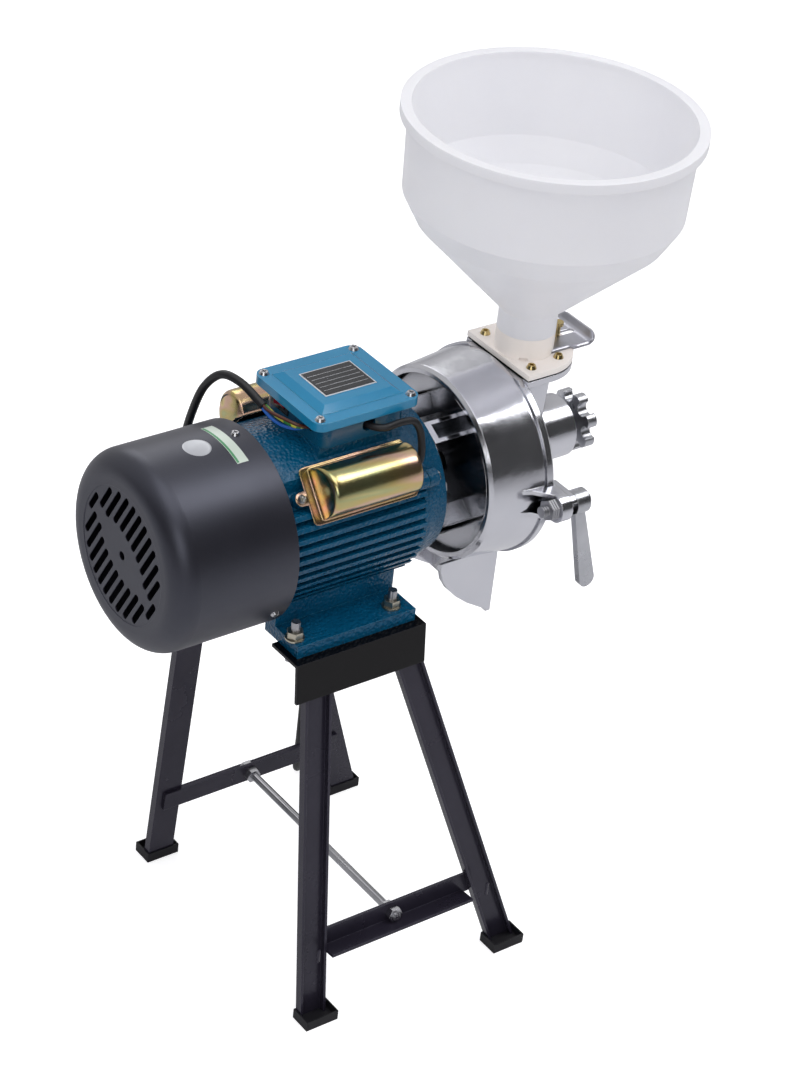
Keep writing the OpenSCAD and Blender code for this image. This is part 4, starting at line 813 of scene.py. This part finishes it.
@dataclass
class MainsCord(Assembly):
    """The mains cord with its cores, coil and plug.

    Attributes:
        diameter: Diameter of the sheath.
        core: Diameter of each core.
        coil_radius: Radius of the coil's outer turn.
        loops: Turns in the coil.
        spacing: Gap between turns.
        coil_at: Middle of the coil on the floor.
        plug_at: The plug's rear end.
        plug_rings: Place, width and height of each ring along the plug.
        cores: Route of the earth, blue and brown core.
        sheath: Route of the sheath down to the coil.
        tail: Route from the coil to the plug.
    """

    diameter: float = 7.5
    core: float = 3.0
    coil_radius: float = 38.0
    loops: int = 4
    spacing: float = 1.0
    coil_at: Pair = (250.0, 310.0)
    plug_at: Point = (262.0, 367.0, 8.0)
    plug_rings: Route = (
        (0, 9, 8), (1.5, 13, 11), (5, 18, 13), (9, 20, 13.6), (10, 18.5, 12.4), (12, 18.5, 12.4), (13, 21, 14),
        (15, 21, 14), (16, 19.5, 12.8), (18, 19.5, 12.8), (19, 22, 14.6), (23, 23, 15.4), (31, 23.6, 15.8),
        (34, 22.4, 14.6))
    cores: tuple[Route, ...] = (
        ((-82, -20, 561), (-90, -21, 560.5), (-97, -21, 560), (-103, -17, 560), (-107, -9, 561), (-110, 2, 562.5),
         (-111, 9, 564.2), (-111.6, 13.9, 565.5)),
        ((-82, -17, 559), (-90, -17.4, 558.5), (-96, -17, 556.5), (-102, -12, 555), (-108, -4, 556), (-112, 4, 559),
         (-113.8, 10, 562), (-114.4, 14, 563.7)),
        ((-82, -22.5, 558.5), (-90, -23.4, 559.5), (-99, -24, 562.5), (-106, -19, 565), (-110.5, -9, 565.8),
         (-113, 1, 565.5), (-114, 8, 565.6), (-114.4, 12.7, 566.7)),
    )
    sheath: Route = (
        (-113.6, 14, 565.5), (-115, 20, 568), (-121, 38, 577), (-127, 58, 576), (-131, 76, 556), (-133, 88, 526),
        (-133, 97, 494), (-131, 102, 462), (-124, 105, 432), (-104, 107, 406), (-70, 108, 394), (-34, 109, 384),
        (0, 111, 362), (22, 115, 322), (35, 121, 262), (46, 129, 192), (55, 138, 120), (62, 147, 60), (70, 158, 22),
        (84, 172, 6), (104, 190, 3.75), (130, 212, 3.75), (160, 240, 3.75), (186, 266, 3.75), (204, 284, 3.75),
        (211, 296, 3.75), (212, 301, 3.75), (212, 309.2, 3.75),
    )
    tail: Route = (
        (212, 322, 12.25), (214, 336, 11), (219, 349, 9), (228, 360, 8), (240, 366, 8), (252, 367, 8),
        (261.7, 367, 8))

    looks = dict(plug_pins=Look.bearing)

    def _coil(self) -> list[Point]:
        """The coil's centreline: it winds in, climbs a layer and winds out.

        Returns:
            Points in millimetres.
        """
        layer, steps, half, out = self.diameter + self.spacing, 36, self.loops / 2, []
        for n in (i / steps for i in range(self.loops * steps + 1)):
            rise = min(max((n - half + 0.25) * 2, 0.0), 1.0)
            r, a = self.coil_radius - min(n, self.loops - n) * layer, 2 * math.pi * n
            x, y = self.coil_at
            out.append((x - r * math.cos(a), y + r * math.sin(a), self.diameter / 2 + rise * layer))
        return out

    def build(self) -> list[Thing]:
        """Returns:
            The pieces.
        """
        made = []
        looks = (Look.core_earth, Look.core_blue, Look.core_brown)
        for label, points, look in zip(("earth", "blue", "brown"), self.cores, looks):
            line = [at(*p) for p in spline_route(points, 5)]
            core = look.fit(tube_curve(f"core_{label}", line, self.core * MM), "mains_wires")
            made.append(core)
        line = [at(*p) for p in spline_route(self.sheath, 6) + self._coil() + spline_route(self.tail, 5)]
        cord = tube_curve("mains_cord", line, self.diameter * MM)
        Look.cord.fit(cord, "mains_sheath", "cord_coil")
        plug = self._plug()
        return made + [cord, plug]

    def _plug(self) -> Thing:
        """Makes the moulded plug with its grip ribs.

        Returns:
            The plug.
        """
        x0, y0, z0 = self.plug_at
        unit = [[math.copysign(abs(v) ** 0.6, v) for v in (math.cos(a), math.sin(a))] for a in turns(28)]
        rings = [[at(x0 + x, y0 + wide / 2 * c, z0 + high / 2 * s) for c, s in unit]
                 for x, wide, high in self.plug_rings]
        return Look.switch_black.fit(ring_stack("plug", rings), "plug_body", slot="cord_rubber")


@dataclass
class Stand(Assembly):
    """The painted stand with its weld seams, foot caps and tie rod.

    Attributes:
        seam: Radius of a weld seam.
        ripples: Rings along a seam.
        wave: Level and depth of the ripples, as shares of the radius, and their pace.
        flat: Share of the radius along the brace and across it.
    """

    seam: float = 1.6
    ripples: int = 40
    wave: Point = (0.82, 0.18, 0.9)
    flat: Pair = (1.3, 0.6)

    looks = dict(
        **{f"rail_{side}": Look.rail_paint for side in SIDES},
        **{f"brace_{side}": Look.stand_paint for side in SIDES},
        **{f"leg_{side}_{end}": Look.stand_paint for side in SIDES for end in ENDS},
        foot_caps=Look.foot_plastic, tie_rod=Look.zinc_thread, tie_nuts=Look.zinc)

    def build(self) -> list[Thing]:
        """Lays a rippled weld seam where each brace meets its legs.

        Returns:
            The seams.
        """
        made = []
        for side in SIDES:
            low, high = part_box(f"brace_{side}")
            y = low.y + 0.001 if side == "near" else high.y - 0.001
            for end, x in zip(ENDS, (low.x + 0.004, high.x - 0.004)):
                start, stop = Vector((x, y, low.z + 0.003)), Vector((x, y, high.z - 0.003))
                made.append(self._seam(f"weld_{side}_{end}", start, stop))
        return made

    def _seam(self, name: str, start: Vector, stop: Vector) -> Thing:
        """One rippled seam between two points.

        Args:
            name: Name of the seam.
            start: Its start.
            stop: Its end.

        Returns:
            The seam.
        """
        rings, (level, deep, pace), (along, across) = [], self.wave, self.flat
        for i in range(self.ripples + 1):
            where = start.lerp(stop, i / self.ripples)
            taper = 0.3 if i in (0, self.ripples) else 1.0
            r = self.seam * MM * (level + deep * abs(math.sin(i * pace))) * taper
            oval = [(math.cos(a) * r * along, math.sin(a) * r * across, 0) for a in turns(12)]
            rings.append([where + Vector(p) for p in oval])
        return Look.stand_paint.fit(ring_stack(name, rings))


@dataclass
class Motor(Assembly):
    """The finned motor with its shields, fan cover and what turns inside.

    Attributes:
        cover_radius: Radius of the fan cover.
        lift: How far a sticker stands off the cover.
        rim: Share of the radius and height of each ring of the round sticker.
    """

    cover_radius: float = 88.0
    lift: float = 0.12
    rim: Pairs = ((0.5, 0), (0.84, 0), (0.88, 0.06), (0.97, 0.06), (1.0, -0.05))

    looks = dict(
        motor_frame=Look.motor_paint, rear_shield=Look.shield_paint, front_shield=Look.shield_paint,
        fan_cover=Look.cover_paint, fan_cover_screws=Look.zinc, shield_bolts=Look.zinc,
        motor_bolts=Look.zinc_thread, motor_nuts=Look.nut_zinc, stator=Look.lamination,
        rotor_core=Look.lamination, windings=Look.copper, bearings=Look.bearing,
        shaft=Look.steel, fan=Look.fan_plastic)

    def build(self) -> list[Thing]:
        """Makes the blank stickers on the fan cover.

        Returns:
            The stickers.
        """
        return [
            self._round_sticker("sticker_round", -189.0, 91.7, 12.0),
            self._strip("sticker_strip", (-168.0, -157.0), (74.0, 111.0), 0.0, Look.sticker_pale),
            self._strip("sticker_strip_edge", (-167.6, -165.4), (74.6, 110.4), 0.05, Look.sticker_green),
        ]

    def _on_cover(self, x: float, angle: float, extra: float = 0.0) -> Vector:
        """A point just off the fan cover, at a turn in degrees from the far side towards the top."""
        r, a = self.cover_radius + self.lift + extra, math.radians(angle)
        return at(x, r * math.cos(a), SHAFT_Z + r * math.sin(a))

    def _round_sticker(self, name: str, x: float, angle: float, radius: float) -> Thing:
        """A blank round sticker with a raised rim.

        Args:
            name: Name of the piece.
            x: Its middle along the shaft.
            angle: Its middle round the shaft, in degrees.
            radius: Its radius in millimetres.

        Returns:
            The sticker.
        """
        points, faces, count = [self._on_cover(x, angle)], [], 48
        for share, height in self.rim:
            for a in turns(count):
                turn = math.degrees(radius * share * math.sin(a) / self.cover_radius)
                points.append(self._on_cover(x + radius * share * math.cos(a), angle + turn, height))
        for k in range(count):
            n = (k + 1) % count
            faces.append((0, 1 + k, 1 + n))
            for i in range(1, (len(self.rim) - 1) * count, count):
                faces.append((i + k, i + count + k, i + count + n, i + n))
        return Look.sticker_silver.fit(piece_from(name, points, faces))

    def _strip(self, name: str, xs: Pair, angles: Pair, extra: float,
               look: Finish) -> Thing:
        """A blank strip laid round the fan cover.

        Args:
            name: Name of the piece.
            xs: Its ends along the shaft.
            angles: Its ends round the shaft, in degrees.
            extra: Height over the cover.
            look: Its finish.

        Returns:
            The strip.
        """
        steps, (first, last) = 24, angles
        rows = [first + (last - first) * i / steps for i in range(steps + 1)]
        points = [self._on_cover(x, angle, extra) for angle in rows for x in xs]
        return look.fit(piece_from(name, points, grid_faces(len(rows), 2)))


@dataclass
class JunctionBox(Assembly):
    """The junction box with its lid, bare rating plate, switch and capacitors.

    Attributes:
        plate_x: Middle of the rating plate.
        plate_size: Its length and width.
        border: Width of its bright border, on both sides together.
        rules: Number, spacing, width and margin of the ruled lines on it.
        layers: Height over the lid and thickness of the plate, of its field and of a line.
        cover_turn: Turn of the capacitor covers over the level, in degrees.
        cover_seat: Distance of their seats from the shaft.
        cover_x: Their middle along the shaft.
        cover_half: A cover's half length, half width, height and the bulge's radius.
        shoulder: Distance into the bulge and share of its height, where it rises.
        tips: Distance from an end of the flange and share of its width, where it rounds off.
        flange: Width of the flange at the front end.
        flange_end: Width of the flange at the rear end.
        sheet: Thickness of the sheet.
        ear_x: Distance of each ear from the cover's middle.
        ear_r: Radius of an ear.
        neck: Distance from an ear's middle and half its width, where it leaves the flange.
        lead: Route of the near capacitor's lead, from the shaft's height.
        lead_r: Radius of the lead.
    """

    plate_x: float = -50.0
    plate_size: Pair = (52.0, 40.0)
    border: float = 2.4
    rules: tuple[int, float, float, float] = (5, 6.0, 0.5, 7.0)
    layers: Pairs = ((0.02, 0.45), (0.45, 0.12), (0.55, 0.08))
    cover_turn: float = 40.0
    cover_seat: float = 79.3
    cover_x: float = -64.5
    cover_half: tuple[float, float, float, float] = (53.0, 25.0, 31.0, 21.5)
    shoulder: Pairs = (
        (0.0, 0.03), (0.6, 0.35), (1.2, 0.74), (2.2, 0.9), (3.8, 0.97), (6.0, 1.0), (12.0, 1.0))
    tips: Pairs = ((0.0, 0.86), (1.5, 0.97))
    flange: float = 3.5
    flange_end: float = 9.0
    sheet: float = 1.2
    ear_x: float = 57.5
    ear_r: float = 6.0
    neck: Pairs = ((12.0, 7.5), (6.0, 6.4))
    lead: Route = (
        (-46, -35, 92), (-45.5, -45, 92), (-38, -54, 93), (-24, -57, 96), (-12, -59, 95), (-6.5, -62, 86),
        (-5.5, -65.5, 72), (-7, -67.4, 61), (-12, -67.6, 56.8), (-20, -67.6, 56.8))
    lead_r: float = 3.2

    looks = dict(
        junction_box=Look.box_paint, box_lid=Look.lid_paint, lid_gasket=Look.gasket,
        lid_screws=Look.zinc, switch_body=Look.switch_black, switch_rocker=Look.rocker_red,
        terminal_block=Look.terminal, capacitors=Look.can, capacitor_screws=Look.zinc)

    def build(self) -> list[Thing]:
        """Makes the bare rating plate, its ruled lines, the capacitor covers and the lead.

        Returns:
            The pieces.
        """
        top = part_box("box_lid")[1].z / MM
        (long, wide), silver = self.plate_size, Look.plate_silver
        plate, black, rule = ((top + low, thick) for low, thick in self.layers)
        made = [
            self._slab("rating_plate", 0.0, long, wide, *plate, silver),
            self._slab("rating_field", 0.0, long - self.border, wide - self.border, *black, Look.plate_field),
        ]
        count, pitch, line_wide, margin = self.rules
        for row in range(count):
            dy = pitch * (row - (count - 1) / 2)
            made.append(self._slab(f"plate_rule_{row}", dy, long - margin, line_wide, *rule, silver))
        made += [self._pressed_cover("near", -1.0), self._pressed_cover("far", 1.0)]
        line = [at(x, y, SHAFT_Z + z) for x, y, z in spline_route(self.lead, 6)]
        lead = Look.cord.fit(tube_curve("capacitor_lead_tube", line, 2 * self.lead_r * MM), "capacitor_lead")
        return made + [lead]

    def _on_can(self, side: float, x: float, across: float, up: float) -> Vector:
        """A point of a capacitor cover.

        Args:
            side: -1 for the near cover and 1 for the far one.
            x: Distance from the cover's middle along the shaft.
            across: Distance across the cover, up the motor's side.
            up: Height over the cover's seat.

        Returns:
            The point in the row frame.
        """
        a = math.radians(self.cover_turn)
        out = self.cover_seat + up
        y, z = out * math.cos(a) - across * math.sin(a), out * math.sin(a) + across * math.cos(a)
        return at(self.cover_x + x, side * y, SHAFT_Z + z)

    def _pressed_cover(self, label: str, side: float) -> Thing:
        """Makes one pressed cover: a thin flange with ears round a half-round bulge.

        Args:
            label: Which capacitor it covers.
            side: -1 for the near cover and 1 for the far one.

        Returns:
            The cover.
        """
        long, wide, high, bulge = self.cover_half
        start, stop, wall, sheet = -long + self.flange_end, long - self.flange, high - bulge, self.sheet
        foot = [(-bulge, sheet + wall * 0.12), (-bulge, wall * 0.55), (-bulge, wall)]
        arch = foot + [(-bulge * math.cos(t), wall + bulge * math.sin(t)) for t in turns(32)[1:16]]
        arch += [(-v, h) for v, h in reversed(foot)]
        spans = [(-long + d, 0.0, share) for d, share in self.tips]
        spans += [(-long + 5.0, 0.0, 1.0), (start - 1.0, 0.0, 1.0)]
        spans += [(start + d, rise, 1.0) for d, rise in self.shoulder] + [(0.0, 1.0, 1.0)]
        spans += [(stop - d, rise, 1.0) for d, rise in reversed(self.shoulder)]
        spans += [(long - d, 0.0, share) for d, share in reversed(self.tips)]
        points = []
        for x, rise, width in spans:
            w = wide * width
            edge = [(-w, sheet), (-w + 1.6, sheet), (-bulge - 0.9, sheet)]
            over = [(v, sheet + (h - sheet) * rise) for v, h in arch]
            points += [self._on_can(side, x, v, h) for v, h in edge + over + [(-v, h) for v, h in reversed(edge)]]
        cover = piece_from(f"cover_pressed_{label}", points, grid_faces(len(spans), len(points) // len(spans)))
        thick = cover.modifiers.new("sheet", "SOLIDIFY")
        thick.thickness, thick.offset = self.sheet * 0.9 * MM, -1.0
        smooth = cover.modifiers.new("smooth", "SUBSURF")
        smooth.levels = smooth.render_levels = 1
        Look.yellow_zinc.fit(cover, f"capacitor_cover_{label}")
        for name, end in zip(ENDS, (-1, 1)):
            self._ear(f"cover_ear_{label}_{name}", side, end).parent = cover
        return cover

    def _ear(self, name: str, side: float, end: int) -> Thing:
        """Makes the rounded ear at one end of a cover, which the cover carries.

        Args:
            name: Name of the ear.
            side: -1 for the near cover and 1 for the far one.
            end: -1 for the rear end and 1 for the front one.

        Returns:
            The ear.
        """
        x, r = self.ear_x, self.ear_r
        outline = [(x - back, -half) for back, half in self.neck]
        outline += [(x + r * math.cos(a), r * math.sin(a)) for a in (math.pi * (k / 14 - 0.5) for k in range(15))]
        outline += [(x - back, half) for back, half in reversed(self.neck)]
        rings = [[self._on_can(side, end * (x - inset), v * (1 - inset / 20), h) for x, v in outline]
                 for inset, h in ((0.0, 0.05), (0.0, 0.85), (0.3, self.sheet - 0.02))]
        ear = Look.yellow_zinc.put_on(ring_stack(name, rings))
        return ear

    def _slab(self, name: str, dy: float, long: float, wide: float, low: float, thick: float,
              look: Finish) -> Thing:
        """A thin slab with a bevelled top, lying on the lid.

        Args:
            name: Name of the piece.
            dy: Offset across from the plate's middle.
            long: Length in millimetres.
            wide: Width in millimetres.
            low: Height of its underside.
            thick: Thickness in millimetres.
            look: Its finish.

        Returns:
            The slab.
        """
        rings = []
        for inset, z in ((0.0, low), (0.0, low + thick * 0.6), (min(0.25, wide / 4), low + thick)):
            l, w = long / 2 - inset, wide / 2 - inset
            rings.append([at(self.plate_x + x, dy + y, z) for x, y in ((-l, -w), (l, -w), (l, w), (-l, w))])
        return look.fit(ring_stack(name, rings, smooth=False))


class MillHead(Assembly):
    """The cast mill head with its burrs, feed, clamp and star knob."""

    looks = dict(
        mill_housing=Look.aluminium, front_cover=Look.aluminium, housing_bolts=Look.zinc,
        fixed_burr=Look.iron, rotating_burr=Look.iron, feed_screw=Look.iron,
        thrust_pad=Look.bronze, adjust_screw=Look.steel_thread, star_knob=Look.knob,
        clamp_bolt=Look.zinc_thread, clamp_lever=Look.knob, throat_gasket=Look.gasket)


@dataclass
class Hopper(Assembly):
    """The hopper on its moulded plate, with the feed gate.

    Attributes:
        gate_at: Place of the gate's sheet: the hopper's axis and the sheet's underside.
        gate_ends: Where the sheet starts, widens and starts to curl, from the hopper's axis.
        gate_half: Half its width in the plate and outside it.
        curl: Radius, turn in degrees and straight end of the curled grip.
        slot: Start, end and half width of the guide slot.
        sheet: Thickness of the sheet.
        corner: Radius of the grip's corners.
    """

    gate_at: Pair = (150.0, 562.8)
    gate_ends: Point = (-4.3, 36.0, 52.5)
    gate_half: Pair = (22.0, 25.0)
    curl: Point = (7.5, 68.0, 5.5)
    slot: Point = (23.9, 55.4, 3.1)
    sheet: float = 2.0
    corner: float = 8.0

    looks = dict(hopper_plate=Look.cream, plate_screws=Look.brass_head, hopper=Look.milky)

    def _profile(self, run: float) -> Pair:
        """A point of the gate's side view.

        Args:
            run: Distance along the sheet from the hopper's axis.

        Returns:
            Distance from the hopper's axis and rise.
        """
        radius, turn, _ = self.curl
        start, full = self.gate_ends[2], radius * math.radians(turn)
        if run <= start:
            return run, 0.0
        a = min(run - start, full) / radius
        rest = max(run - start - full, 0.0)
        return (start + radius * math.sin(a) + rest * math.cos(a), radius * (1 - math.cos(a)) + rest * math.sin(a))

    def build(self) -> list[Thing]:
        """Makes the gate: a slotted sheet whose end curls up into a grip.

        Returns:
            The gate alone.
        """
        radius, turn, straight = self.curl
        begin, widen, start = self.gate_ends
        end = start + radius * math.radians(turn) + straight
        low, high, half = self.slot
        runs = [begin, 8.0, 16.0, 22.0, low, low + 0.4, low + 1.2, low + half, 30.0, widen, widen + 0.6, 42.0, 46.0,
                high - half, high - 1.2, high - 0.4, high]
        runs += [high + (end - high) * k / 12 for k in range(1, 13)]
        axis, under = self.gate_at
        points, places = [], 10
        for run in runs:
            x, z = self._profile(run)
            wide = self.gate_half[0] if run <= widen else self.gate_half[1]
            near_end = run - (end - self.corner)
            if near_end > 0:
                wide -= self.corner - math.sqrt(max(self.corner ** 2 - near_end ** 2, 0.0))
            from_end = min(run - low, high - run)
            gap = half if from_end >= half else math.sqrt(max(half ** 2 - (half - max(from_end, 0.0)) ** 2, 0.16))
            across = [-wide, -wide * 0.8, -wide * 0.5, -gap - 1.5, -gap]
            points += [at(axis + x, y, under + z) for y in across + [-y for y in reversed(across)]]
        faces = [f for f in grid_faces(len(runs), places)
                 if not (f[0] % places == places // 2 - 1 and low <= runs[f[0] // places] < high)]
        gate = piece_from("gate_sheet", points, faces)
        thick = gate.modifiers.new("sheet", "SOLIDIFY")
        thick.thickness, thick.offset = self.sheet * MM, 1.0
        return [Look.gate.fit(gate, "feed_gate", body="gate")]


def main() -> None:
    """Builds the studio and the mill."""
    logging.basicConfig(level=logging.INFO, format="%(name)s: %(message)s")
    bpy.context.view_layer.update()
    studio = Studio()
    studio.camera()
    for assembly in (MainsCord(), MillHead(), Stand(), Motor(), JunctionBox(), Hopper()):
        assembly.dress()
        for piece in assembly.build():
            LOG.info("made %s", piece.name)
    studio.floor()
    studio.world()
    studio.lamps()
    bpy.context.scene.view_settings.view_transform = "Standard"


if __name__ == "__main__":
    main()
